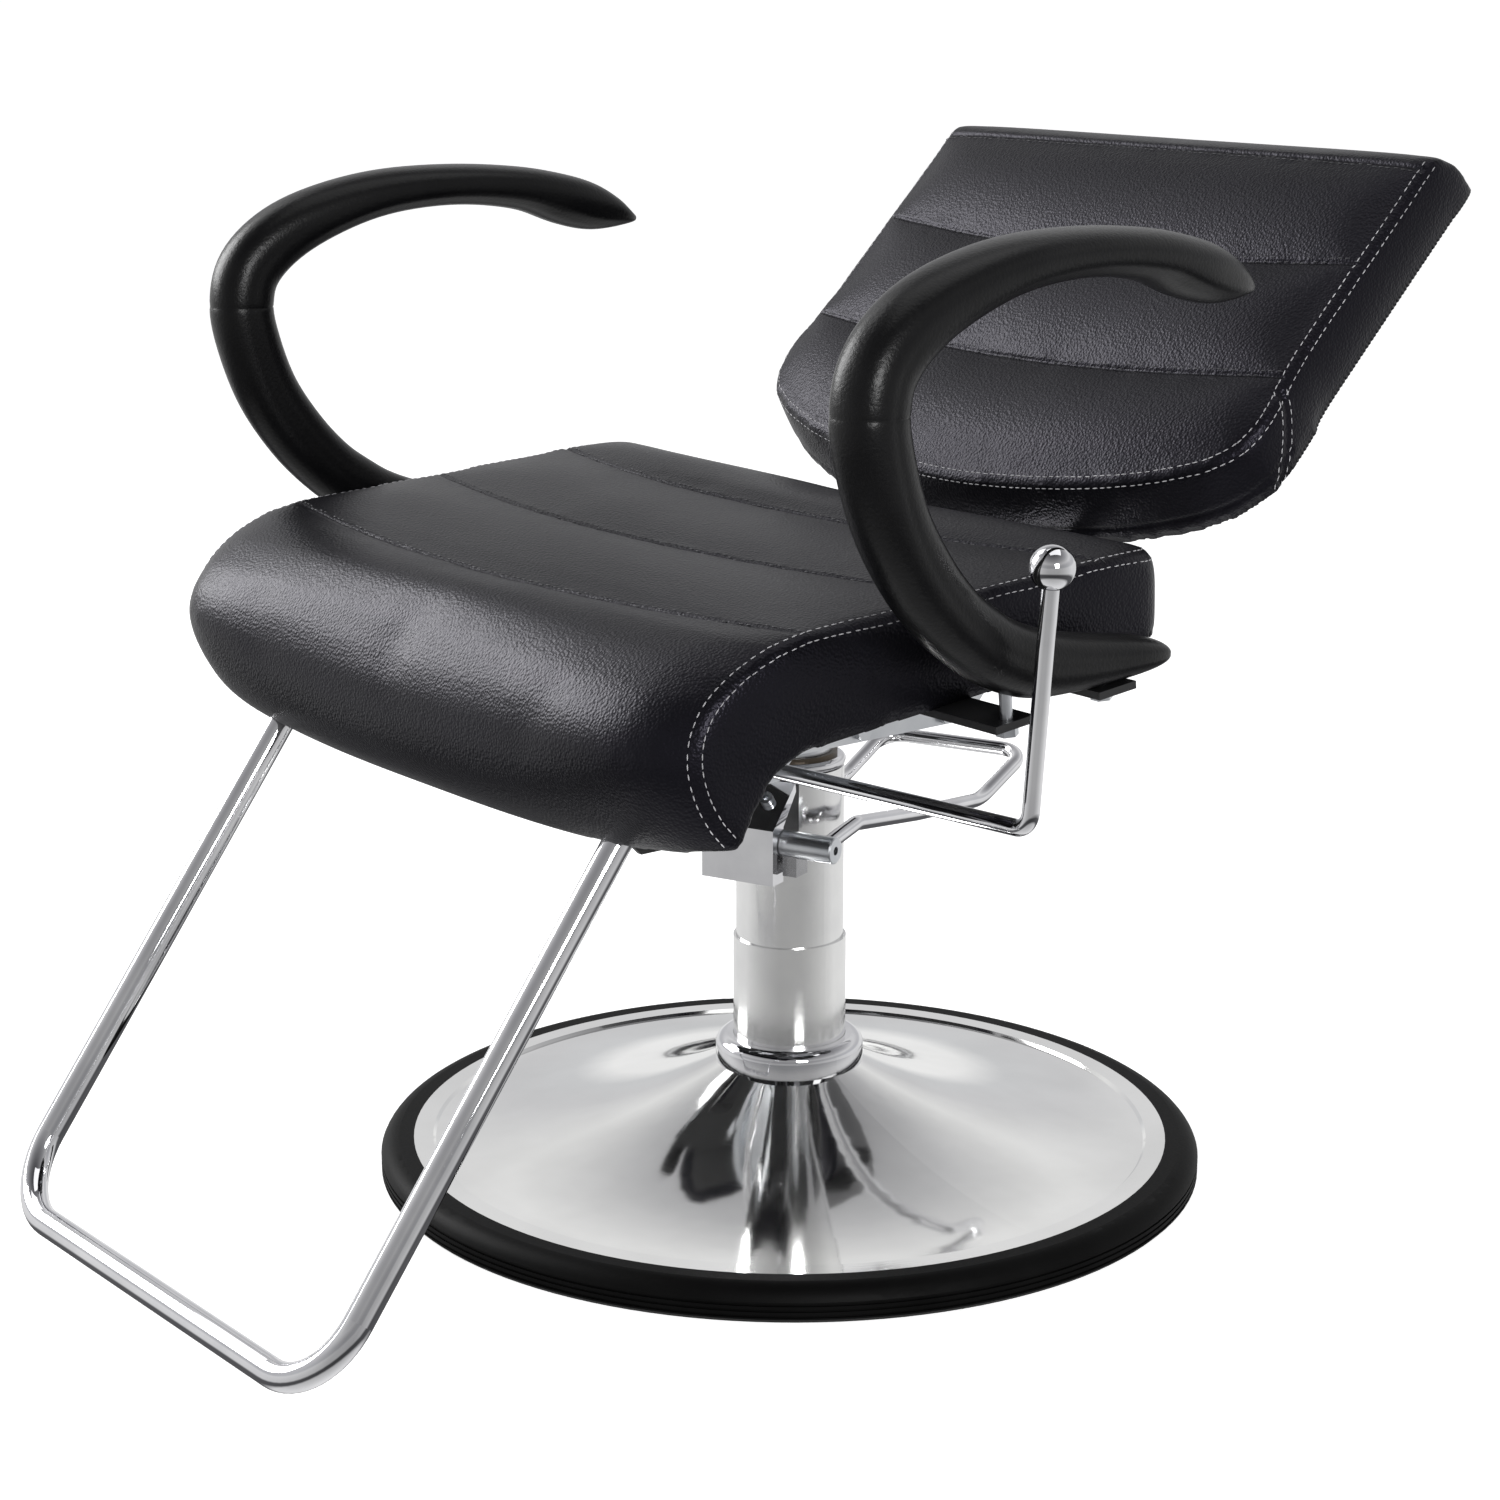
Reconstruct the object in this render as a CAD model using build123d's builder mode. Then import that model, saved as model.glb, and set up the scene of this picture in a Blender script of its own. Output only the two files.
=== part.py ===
from build123d import *
import os
from math import atan2, cos, radians, sin

# Styling chair: hydraulic pump base, swivelling seat, reclining back, loop arms, U footrest.
# Millimetres. +Z is up, the origin is the centre of the base on the floor, the chair faces -Y,
# and the sitter's left is +X.

# ---------------------------------------------------------------- clearances
running_gap = 0.05       # radial, shaft in a bearing
slide_gap = 0.1          # radial, tube in a tube
seat_gap = 0.2           # between pieces that rest beside each other
soft_gap = 0.3           # round foam and vinyl

# ---------------------------------------------------------------- base and column
base_radius = 300
ring_width = 24
ring_height = 25
dish_sheet = 4
dish_height = 77
dish_band = 14           # flat band inside the dish's rim
dish_mid_radius, dish_mid_height = 150, 39   # a point of the dish's hollow slope
dish_step = 2            # the slope starts this much below the band
plate_thickness = 8
collar_radius = 54
collar_height = 20
tube_outer_radius = 41
tube_wall = 1.9
tube_top = 172
cylinder_radius = 30
cylinder_wall = 5
cylinder_top = 165
gland_height = 15
flange_radius = 38.5
flange_thickness = 12
base_bolt_radius = 4
base_bolt_circle = 34
base_bolt_head = 7.5     # radius of the countersunk head

# ---------------------------------------------------------------- lift
lift_wall = 2
lift_top = 300
lift_foot = 22           # lower end of the moving tube at rest
ram_radius = 19
ram_foot = 40
piston_height = 12
head_foot = 250          # underside of the pump head inside the moving tube
cap_height = 8
spindle_radius = 17.5
spindle_length = 67
washer_thickness = 3
pump_turn = 21.6         # degrees, the pump head about Z, from the seat

# ---------------------------------------------------------------- pump pedal
shaft_radius = 9.5
shaft_half = 70
shaft_y = -60            # in the pump head's own frame
shaft_z = 259
pedal_rod_radius = 5.5
pedal_half_width = 58
pedal_reach = 267
cover_sheet = 2
cover_half_width = 28.8
cover_front = -76
cover_foot = 231
cover_shoulder = 271
housing_half_width = 24

# ---------------------------------------------------------------- seat
seat_rise = 427          # underside of the seat board above the floor, at the column
seat_tilt = 5.7          # degrees, nose down
seat_half_width = 297
seat_back_y = 80
board_thickness = 12
board_inset = 17
board_front = -225       # front edge of the board, along the seat
board_rear_inset = 30
rail_x = 117             # inner face of each side plate
rail_sheet = 5
flange_width = 30
flange_sheet = 4
saddle_sheet = 4
saddle_foot = 358
saddle_drop = 12         # its side walls hang this far below it
saddle_half_length = 60
hub_radius = 30
wood_screw_radius = 3

# ---------------------------------------------------------------- back
back_y, back_z = 136, 495    # middle of the back's lower front seam
recline = 45.2           # degrees from upright
back_half_width = 250
back_height = 331
back_depth = 52
back_crown = 14
back_board_thickness = 12
pivot_y, pivot_z = 95, 415
pivot_bolt_radius = 6
cross_tube_radius = 14
bar_thickness = 6
bar_width = 28
bar_x = 104              # inner face of each back bar
bar_screws = (90, 190)   # up the back board

# ---------------------------------------------------------------- arms
arm_offset = 335.4       # arm plane's distance from the middle at the column
arm_toe = 4.6            # degrees, the arms close in towards the back
shoe_width = 40
arm_bolt_radius = 4
bracket_sheet = 5
strap_width = 32
strap_places = (-113, -26)

# ---------------------------------------------------------------- footrest
foot_tube_radius = 9.5
foot_wall = 1.6
foot_half_width = 200
foot_front, foot_low = -525, 34
foot_slope = 53.55       # degrees above the floor
foot_leg = 462
foot_bend = 52
foot_bracket_sheet = 4

# ---------------------------------------------------------------- recline lever and lock
lever_radius = 5.5
lever_reach = 383
lever_y, lever_z = -128, 337
lever_tilt = 2.9         # degrees, the rod rises outwards
lever_grip = 148
lever_lean = 5           # degrees, the upright part leans back
knob_radius = 14
lock_x = 75
lock_front_y, lock_z = -95, 382
lock_radius = 11
lock_rod_radius = 4
crank_length = pivot_z - lock_z
crank_slack = 2          # radial, in the crank's eye, which is the one loose pivot of the lock
eye_thickness = 16
clevis_reach = 26        # from the clevis's block to the crank
crank_pin_radius = 3.5

# Frames of the tilted and turned groups.
turn = radians(pump_turn)
pump_plane = Plane(origin=(0, 0, 0), x_dir=(cos(turn), sin(turn), 0), z_dir=(0, 0, 1))
tilt = radians(seat_tilt)
seat_plane = Plane(origin=(0, 0, seat_rise), x_dir=(1, 0, 0), z_dir=(0, -sin(tilt), cos(tilt)))
lean = radians(recline)
back_plane = Plane(origin=(0, back_y, back_z), x_dir=(1, 0, 0), z_dir=(0, -cos(lean), sin(lean)))
toe = radians(arm_toe)
arm_plane = Plane(origin=(arm_offset, 0, 0), x_dir=(-sin(toe), cos(toe), 0),
                  z_dir=(cos(toe), sin(toe), 0))
rise = radians(lever_tilt)
lever_plane = Plane(origin=(0, lever_y, lever_z), x_dir=(cos(rise), 0, sin(rise)),
                    z_dir=(-sin(rise), 0, cos(rise)))


def side_of(frame, across=0.0, along=0.0, up=0.0):
    """The plane of a frame's y and z directions, at a point of that frame."""
    origin = frame.from_local_coords((across, along, up))
    return Plane(origin=origin, x_dir=frame.y_dir, z_dir=frame.x_dir)


def at_point(frame, across, along, up):
    """The frame itself, moved to one of its own points."""
    origin = frame.from_local_coords((across, along, up))
    return Plane(origin=origin, x_dir=frame.x_dir, z_dir=frame.z_dir)


def underside(along):
    """Height of the seat board's underside at a distance along Y."""
    return seat_rise + along * sin(tilt) / cos(tilt)


def finish(name, builder):
    """Labels a finished piece and writes its STEP file."""
    builder.part.label = name
    export_step(builder.part, f"parts/{name}.step")


os.makedirs("parts", exist_ok=True)

# ================================================================ base
ring_inner = base_radius - ring_width
tube_inner_radius = tube_outer_radius - tube_wall
lift_radius = tube_inner_radius - slide_gap
lift_inner_radius = lift_radius - lift_wall

# Rubber ring round the dish, with moulded ribs on its outer face.
with BuildPart() as base_ring:
    with BuildSketch(Plane.XZ):
        with BuildLine():
            Polyline((ring_inner + seat_gap, 0), (base_radius - 3, 0), (base_radius, 3),
                     (base_radius, 15))
            ThreePointArc((base_radius, 15), (base_radius - 5, 22), (base_radius - 13, ring_height))
            Line((base_radius - 13, ring_height), (ring_inner + seat_gap, ring_height))
            Line((ring_inner + seat_gap, ring_height), (ring_inner + seat_gap, 0))
        make_face()
        for rib_z in (5, 9, 13):
            with Locations((base_radius, rib_z)):
                Rectangle(2.4, 1.6, mode=Mode.SUBTRACT)
    revolve(axis=Axis.Z)
finish("base_ring", base_ring)

# Spun dish: a skirt, a flat band, and a concave rise to a flat seat for the collar.
with BuildPart() as base_dish:
    band_inner = ring_inner - dish_band
    slope_foot = ring_height - dish_step
    dish_hole = tube_outer_radius + seat_gap
    inside = ring_inner - dish_sheet
    with BuildSketch(Plane.XZ):
        with BuildLine():
            Polyline((ring_inner, 0), (ring_inner, ring_height), (band_inner, ring_height),
                     (band_inner - dish_step, slope_foot))
            ThreePointArc((band_inner - dish_step, slope_foot), (dish_mid_radius, dish_mid_height),
                          (collar_radius, dish_height))
            Polyline((collar_radius, dish_height), (dish_hole, dish_height),
                     (dish_hole, dish_height - dish_sheet), (collar_radius, dish_height - dish_sheet))
            ThreePointArc((collar_radius, dish_height - dish_sheet),
                          (dish_mid_radius, dish_mid_height - dish_sheet),
                          (band_inner - dish_step - 1, slope_foot - dish_sheet))
            Polyline((band_inner - dish_step - 1, slope_foot - dish_sheet),
                     (inside, ring_height - dish_sheet), (inside, 0), (ring_inner, 0))
        make_face()
    revolve(axis=Axis.Z)
finish("base_dish", base_dish)

# Heavy steel plate under the dish, drilled for the pump's four countersunk bolts.
with BuildPart() as base_plate:
    with BuildSketch():
        Circle(ring_inner - dish_sheet - seat_gap)
    extrude(amount=plate_thickness)
    with Locations(Plane.XY.rotated((180, 0, 0))):
        with PolarLocations(base_bolt_circle, 4, 45):
            CounterSinkHole(base_bolt_radius + seat_gap, base_bolt_head + 0.5 + seat_gap)
finish("base_plate", base_plate)

bolt_end = plate_thickness + flange_thickness - 2
with BuildPart() as base_bolt:
    with BuildSketch(Plane.XZ):
        with BuildLine():
            Polyline((0, 0.5), (base_bolt_head, 0.5), (base_bolt_radius, 4.2),
                     (base_bolt_radius, bolt_end), (0, bolt_end), (0, 0.5))
        make_face()
    revolve(axis=Axis.Z)
with BuildPart() as base_bolts:
    with PolarLocations(base_bolt_circle, 4, 45):
        add(base_bolt.part)
finish("base_bolts", base_bolts)

# Fixed outer tube and its collar.
with BuildPart() as outer_tube:
    with BuildSketch(Plane.XY.offset(plate_thickness)):
        Circle(tube_outer_radius)
        Circle(tube_inner_radius, mode=Mode.SUBTRACT)
    extrude(amount=tube_top - plate_thickness)
finish("outer_tube", outer_tube)

with BuildPart() as column_collar:
    collar_foot = dish_height
    with BuildSketch(Plane.XZ):
        with BuildLine():
            Polyline((tube_outer_radius + seat_gap, collar_foot), (collar_radius, collar_foot),
                     (collar_radius, collar_foot + 12))
            ThreePointArc((collar_radius, collar_foot + 12), (collar_radius - 2.5, collar_foot + 17.5),
                          (collar_radius - 8, collar_foot + collar_height))
            Polyline((collar_radius - 8, collar_foot + collar_height),
                     (tube_outer_radius + seat_gap, collar_foot + collar_height),
                     (tube_outer_radius + seat_gap, collar_foot))
        make_face()
    revolve(axis=Axis.Z)
finish("column_collar", column_collar)

# Hydraulic cylinder with its bolting flange, and the gland that guides the ram.
with BuildPart() as hydraulic_cylinder:
    with BuildSketch(Plane.XY.offset(plate_thickness)):
        Circle(flange_radius)
    extrude(amount=flange_thickness)
    with BuildSketch(Plane.XY.offset(plate_thickness)):
        Circle(cylinder_radius)
    extrude(amount=cylinder_top - plate_thickness)
    with BuildSketch(Plane.XY.offset(plate_thickness + flange_thickness)):
        Circle(cylinder_radius - cylinder_wall)
    extrude(amount=cylinder_top, mode=Mode.SUBTRACT)
    with BuildSketch(Plane.XY.offset(plate_thickness)):
        with PolarLocations(base_bolt_circle, 4, 45):
            Circle(base_bolt_radius + running_gap)
    extrude(amount=flange_thickness, mode=Mode.SUBTRACT)
finish("hydraulic_cylinder", hydraulic_cylinder)

with BuildPart() as gland_nut:
    with BuildSketch(Plane.XY.offset(cylinder_top)):
        Circle(cylinder_radius)
        Circle(ram_radius + running_gap, mode=Mode.SUBTRACT)
    extrude(amount=gland_height)
    chamfer(gland_nut.edges().filter_by(GeomType.CIRCLE).sort_by(Axis.Z)[-1], 2)
finish("gland_nut", gland_nut)

# ================================================================ lift
# Moving tube, with a window at the top front for the pump head.
window_half = housing_half_width + seat_gap
with BuildPart() as lift_tube:
    with BuildSketch(Plane.XY.offset(lift_foot)):
        Circle(lift_radius)
        Circle(lift_inner_radius, mode=Mode.SUBTRACT)
    extrude(amount=lift_top - lift_foot)
    with BuildSketch(at_point(pump_plane, 0, 0, head_foot - 12)):
        with Locations((0, -lift_radius)):
            Rectangle(2 * window_half, 2 * lift_radius)
    extrude(amount=lift_top, mode=Mode.SUBTRACT)
finish("lift_tube", lift_tube)

with BuildPart() as lift_ram:
    with BuildSketch(Plane.XY.offset(ram_foot)):
        Circle(ram_radius)
    extrude(amount=head_foot + 12 - ram_foot)
finish("lift_ram", lift_ram)

with BuildPart() as ram_piston:
    with BuildSketch(Plane.XY.offset(ram_foot - piston_height)):
        Circle(cylinder_radius - cylinder_wall - running_gap)
    extrude(amount=piston_height)
    for groove_z in (4, 8):
        with BuildSketch(Plane.XY.offset(ram_foot - piston_height + groove_z - 1)):
            Circle(cylinder_radius - cylinder_wall)
            Circle(cylinder_radius - cylinder_wall - 2, mode=Mode.SUBTRACT)
        extrude(amount=2, mode=Mode.SUBTRACT)
finish("ram_piston", ram_piston)

# Pump head casting: a disc inside the tube and a nose that carries the pedal shaft.
nose_front = cover_front + cover_sheet + 1
shoulder_back_y, shoulder_back_z = -44, 298.4
with BuildPart() as pump_housing:
    with BuildSketch(Plane.XY.offset(head_foot)):
        Circle(lift_inner_radius - seat_gap)
    extrude(amount=lift_top - head_foot)
    with BuildSketch(side_of(pump_plane, -housing_half_width)):
        with BuildLine():
            Polyline((-20, head_foot - 10), (nose_front, head_foot - 10),
                     (nose_front, cover_shoulder - 3), (-45, shoulder_back_z - 6.5),
                     (-20, lift_top - 4), (-20, head_foot - 10))
        make_face()
    extrude(amount=2 * housing_half_width)
    with BuildSketch(side_of(pump_plane, -shaft_half, shaft_y, shaft_z)):
        Circle(shaft_radius + running_gap)
    extrude(amount=2 * shaft_half, mode=Mode.SUBTRACT)
    with BuildSketch(Plane.XY.offset(head_foot)):
        Circle(ram_radius + running_gap)
    extrude(amount=12, mode=Mode.SUBTRACT)
    with BuildSketch(Plane.XY.offset(lift_top)):
        Circle(spindle_radius + running_gap)
    extrude(amount=-12, mode=Mode.SUBTRACT)
finish("pump_housing", pump_housing)

# Pressed cover over the pump head's nose: a front, two returns and a sloping top.
screw_drop = 0.42        # share of the slope from its top edge
cover_run = (shoulder_back_y - cover_front, shoulder_back_z - cover_shoulder)
slope = atan2(cover_run[1], cover_run[0])
screw_point = (shoulder_back_y - cover_run[0] * screw_drop, shoulder_back_z - cover_run[1] * screw_drop)
with BuildPart() as pump_cover:
    with BuildSketch(side_of(pump_plane, -cover_half_width)):
        with BuildLine():
            Polyline((cover_front, cover_foot), (cover_front, cover_shoulder),
                     (shoulder_back_y, shoulder_back_z), (shoulder_back_y + 1, shoulder_back_z - 6),
                     (cover_front + 15, cover_shoulder),
                     (cover_front + 15, cover_foot), (cover_front, cover_foot))
        make_face()
    extrude(amount=2 * cover_half_width)
    with BuildSketch(side_of(pump_plane, cover_sheet - cover_half_width)):
        with BuildLine():
            inner_front = cover_front + cover_sheet
            Polyline((inner_front, cover_foot - 1), (inner_front, cover_shoulder - 0.7),
                     (shoulder_back_y + 3, shoulder_back_z - 0.2), (shoulder_back_y + 3, cover_foot - 1),
                     (inner_front, cover_foot - 1))
        make_face()
    extrude(amount=2 * (cover_half_width - cover_sheet), mode=Mode.SUBTRACT)
    with BuildSketch(side_of(pump_plane, -shaft_half, shaft_y, shaft_z)):
        Circle(shaft_radius + 1)
    extrude(amount=2 * shaft_half, mode=Mode.SUBTRACT)
    screw_plane = Plane(origin=pump_plane.from_local_coords((0, screw_point[0], screw_point[1])),
                        x_dir=pump_plane.x_dir,
                        z_dir=pump_plane.from_local_coords((0, -sin(slope), cos(slope))))
    with BuildSketch(screw_plane):
        with Locations((-14, 0), (14, 0)):
            Circle(3 + seat_gap)
    extrude(amount=4, both=True, mode=Mode.SUBTRACT)
finish("pump_cover", pump_cover)

with BuildPart() as cover_screws:
    with BuildSketch(screw_plane):
        with Locations((-14, 0), (14, 0)):
            Circle(3)
    extrude(amount=-3)
    with BuildSketch(screw_plane.offset(seat_gap)):
        with Locations((-14, 0), (14, 0)):
            Circle(5)
            RegularPolygon(2.4, 6, mode=Mode.SUBTRACT)
    extrude(amount=4)
    with BuildSketch(screw_plane):
        with Locations((-14, 0), (14, 0)):
            Circle(4)
    extrude(amount=1.2)
finish("cover_screws", cover_screws)

# Bright cap on the moving tube, and the spindle that the seat swivels on.
with BuildPart() as top_cap:
    with BuildSketch(Plane.XY.offset(lift_top)):
        Circle(lift_radius + 1)
        Circle(spindle_radius + seat_gap, mode=Mode.SUBTRACT)
    extrude(amount=cap_height)
    rim = top_cap.edges().filter_by(GeomType.CIRCLE).group_by(SortBy.RADIUS)[-1]
    fillet(rim, 3.5)
finish("top_cap", top_cap)

spindle_top = lift_top + spindle_length
with BuildPart() as swivel_spindle:
    with BuildSketch(Plane.XY.offset(lift_top - 12)):
        Circle(spindle_radius)
    extrude(amount=spindle_top - lift_top + 12)
finish("swivel_spindle", swivel_spindle)

with BuildPart() as thrust_washer:
    with BuildSketch(Plane.XY.offset(lift_top + cap_height)):
        Circle(hub_radius + 4)
        Circle(spindle_radius + seat_gap, mode=Mode.SUBTRACT)
    extrude(amount=washer_thickness)
finish("thrust_washer", thrust_washer)

with BuildPart() as spindle_retainer:
    with BuildSketch(Plane.XY.offset(spindle_top)):
        Circle(hub_radius - 6)
    extrude(amount=3)
    with BuildSketch(Plane.XY.offset(spindle_top + 3)):
        RegularPolygon(9, 6)
    extrude(amount=7)
finish("spindle_retainer", spindle_retainer)

# ================================================================ pump pedal
# The shaft carries the pedal's rod in two cross holes, each locked by a set screw in the end face.
pedal_path = [(pedal_half_width, shaft_y + 4, shaft_z), (pedal_half_width, -8, shaft_z + 6),
              (pedal_half_width + 1, 85, shaft_z - 9), (pedal_half_width + 2, 190, shaft_z - 23),
              (pedal_half_width + 4, pedal_reach, shaft_z - 2)]
near_side = [pump_plane.from_local_coords(point) for point in pedal_path]
far_side = [pump_plane.from_local_coords((-x, y, z)) for x, y, z in reversed(pedal_path)]
rod_dir = near_side[1] - near_side[0]
with BuildPart() as pedal_shaft:
    with BuildSketch(side_of(pump_plane, -shaft_half, shaft_y, shaft_z)):
        Circle(shaft_radius)
    extrude(amount=2 * shaft_half)
    chamfer(pedal_shaft.edges().filter_by(GeomType.CIRCLE), 0.8)
    for hand in (-1, 1):
        hole_start = pump_plane.from_local_coords((hand * pedal_half_width, shaft_y + 3.8, shaft_z))
        with BuildSketch(Plane(origin=hole_start, z_dir=rod_dir)):
            Circle(pedal_rod_radius + running_gap)
        extrude(amount=12, mode=Mode.SUBTRACT)
        with BuildSketch(side_of(pump_plane, hand * shaft_half, shaft_y, shaft_z)):
            Circle(3 + running_gap)
        extrude(amount=-hand * 12, mode=Mode.SUBTRACT)
finish("pedal_shaft", pedal_shaft)

with BuildPart() as pedal_set_screws:
    for hand in (-1, 1):
        with BuildSketch(side_of(pump_plane, hand * (shaft_half - 2), shaft_y, shaft_z)):
            Circle(3)
            RegularPolygon(1.5, 6, mode=Mode.SUBTRACT)
        extrude(amount=-hand * 4)
finish("pedal_set_screws", pedal_set_screws)

with BuildPart() as pedal_loop:
    with BuildLine() as loop_line:
        FilletPolyline(*near_side, *far_side, radius=[18, 45, 60, 20, 20, 60, 45, 18])
    with BuildSketch(Plane(origin=loop_line.line @ 0, z_dir=loop_line.line % 0)):
        Circle(pedal_rod_radius)
    sweep(path=loop_line.line)
finish("pedal_loop", pedal_loop)

# Cam under the shaft that works the pump's plunger.
with BuildPart() as pump_cam:
    with BuildSketch(side_of(pump_plane, 31)):
        with Locations((shaft_y + 2, shaft_z - 14)):
            Rectangle(16, 16)
        with Locations((shaft_y, shaft_z)):
            Circle(shaft_radius + running_gap, mode=Mode.SUBTRACT)
    extrude(amount=11)
finish("pump_cam", pump_cam)

# ================================================================ seat frame
lever_bore = lever_radius + 1.5
pivot_along = (pivot_y * cos(tilt) + (pivot_z - seat_rise) * sin(tilt))
pivot_up = (-pivot_y * sin(tilt) + (pivot_z - seat_rise) * cos(tilt))
saddle_bolt_places = [(-38, saddle_foot - 4), (38, saddle_foot - 4)]
flange_middle = rail_x + rail_sheet + 14
flange_places = [(hand * flange_middle, y) for hand in (-1, 1) for y in (-210, -70, 20)]


def side_plate(hand):
    """Side plate with an outward top flange; hand is +1 on the sitter's left."""
    with BuildPart() as plate:
        with BuildSketch(side_of(seat_plane, hand * rail_x)):
            with BuildLine():
                Polyline((-222, 0), (-222, -32), (-165, -84), (-118, -86), (-104, -72), (52, -86.5),
                         (pivot_along + 17, pivot_up - 10), (pivot_along + 17, -4), (60, 0), (-222, 0))
            make_face()
        extrude(amount=hand * rail_sheet)
        with BuildSketch(seat_plane):
            with Locations((hand * (rail_x + flange_width / 2), -93)):
                Rectangle(flange_width, 258)
        extrude(amount=-flange_sheet)
        with BuildSketch(side_of(Plane.XY, hand * (rail_x - 1))):
            with Locations(*saddle_bolt_places):
                Circle(arm_bolt_radius + seat_gap)
            with Locations((pivot_y, pivot_z)):
                Circle(pivot_bolt_radius + running_gap)
        extrude(amount=hand * (rail_sheet + 2), mode=Mode.SUBTRACT)
        if hand > 0:
            with BuildSketch(side_of(lever_plane, rail_x - 3)):
                Circle(lever_bore + running_gap)
            extrude(amount=rail_sheet + 6, mode=Mode.SUBTRACT)
        with BuildSketch(seat_plane):
            with Locations(*[place for place in flange_places if place[0] * hand > 0]):
                Circle(wood_screw_radius + seat_gap)
        extrude(amount=-flange_sheet, mode=Mode.SUBTRACT)
    return plate


side_plate_left = side_plate(1)
finish("side_plate_left", side_plate_left)
side_plate_right = side_plate(-1)
finish("side_plate_right", side_plate_right)

with BuildPart() as front_cross_bar:
    with BuildSketch(side_of(seat_plane, -rail_x)):
        with Locations((-218, -14)):
            Rectangle(25, 25)
            Rectangle(21, 21, mode=Mode.SUBTRACT)
    extrude(amount=2 * rail_x)
finish("front_cross_bar", front_cross_bar)

# Saddle: a channel between the side plates, with the swivel hub below it.
hub_foot = lift_top + cap_height + washer_thickness + seat_gap
with BuildPart() as saddle:
    with BuildSketch(Plane.XY.offset(saddle_foot)):
        Rectangle(2 * (rail_x - seat_gap), 2 * saddle_half_length)
    extrude(amount=2 * saddle_sheet)
    with BuildSketch(Plane.XY.offset(hub_foot)):
        Circle(hub_radius)
    extrude(amount=saddle_foot - hub_foot)
    for hand in (-1, 1):
        with BuildSketch(Plane.XY.offset(saddle_foot - saddle_drop)):
            with Locations((hand * (rail_x - seat_gap - saddle_sheet / 2), 0)):
                Rectangle(saddle_sheet, 2 * saddle_half_length)
        extrude(amount=saddle_drop)
        with BuildSketch(side_of(Plane.XY, hand * (rail_x + 1))):
            with Locations(*saddle_bolt_places):
                Circle(arm_bolt_radius + seat_gap)
        extrude(amount=-hand * 3 * saddle_sheet, mode=Mode.SUBTRACT)
    with BuildSketch(Plane.XY.offset(hub_foot)):
        Circle(spindle_radius + 2 + running_gap)
    extrude(amount=saddle_foot, mode=Mode.SUBTRACT)
finish("saddle", saddle)

with BuildPart() as swivel_bush:
    with BuildSketch(Plane.XY.offset(hub_foot)):
        Circle(spindle_radius + 2)
        Circle(spindle_radius + running_gap, mode=Mode.SUBTRACT)
    extrude(amount=saddle_foot + 2 * saddle_sheet - hub_foot)
finish("swivel_bush", swivel_bush)


def cross_bolt(hand, x, y, z, radius, inward, head=5):
    """Hex bolt along X: its head sits outside x and its shank runs inwards."""
    with BuildPart() as cross:
        with BuildSketch(side_of(Plane.XY, hand * x, y, z)):
            Circle(radius)
        extrude(amount=-hand * inward)
        with BuildSketch(side_of(Plane.XY, hand * x, y, z)):
            RegularPolygon(radius * 1.75, 6)
        extrude(amount=hand * head)
    return cross.part


saddle_shank = rail_sheet + saddle_sheet + 6
saddle_set = [cross_bolt(hand, rail_x + rail_sheet, y, z, arm_bolt_radius, saddle_shank)
              for hand in (-1, 1) for y, z in saddle_bolt_places]
with BuildPart() as saddle_bolts:
    add(saddle_set)
finish("saddle_bolts", saddle_bolts)

hinge_shank = rail_sheet + 30
hinge_set = [cross_bolt(hand, rail_x + rail_sheet, pivot_y, pivot_z, pivot_bolt_radius, hinge_shank, head=7)
             for hand in (-1, 1)]
with BuildPart() as hinge_bolts:
    add(hinge_set)
finish("hinge_bolts", hinge_bolts)

# Plywood board and the upholstered cushion that wraps it.
root_in = rail_x + flange_width + 8
root_places = [(hand * (root_in + 20), y) for hand in (-1, 1) for y in strap_places]
board_half = seat_half_width - board_inset
board_rear = seat_back_y - board_rear_inset
board_length = board_rear - board_front
board_middle = (board_rear + board_front) / 2
with BuildPart() as seat_board:
    with BuildSketch(seat_plane):
        with Locations((0, board_middle)):
            RectangleRounded(2 * board_half, board_length, 20)
    extrude(amount=board_thickness)
    with BuildSketch(seat_plane):
        with Locations(*flange_places):
            Circle(wood_screw_radius + running_gap)
        with Locations(*root_places):
            Circle(arm_bolt_radius + running_gap)
    extrude(amount=board_thickness - 2, mode=Mode.SUBTRACT)
finish("seat_board", seat_board)

with BuildPart() as seat_bolts:
    with BuildSketch(seat_plane.offset(-flange_sheet)):
        with Locations(*flange_places):
            Circle(wood_screw_radius)
    extrude(amount=flange_sheet + board_thickness - 3)
    with BuildSketch(seat_plane.offset(-flange_sheet)):
        with Locations(*flange_places):
            RegularPolygon(5.8, 6)
    extrude(amount=-4)
finish("seat_bolts", seat_bolts)

leg_run = (cos(radians(foot_slope)), sin(radians(foot_slope)))
leg_dir = (0, leg_run[0], leg_run[1])
top_y = foot_front + foot_leg * leg_run[0]
top_z = foot_low + foot_leg * leg_run[1]
pocket_width = 2 * (foot_tube_radius + 16)
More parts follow.
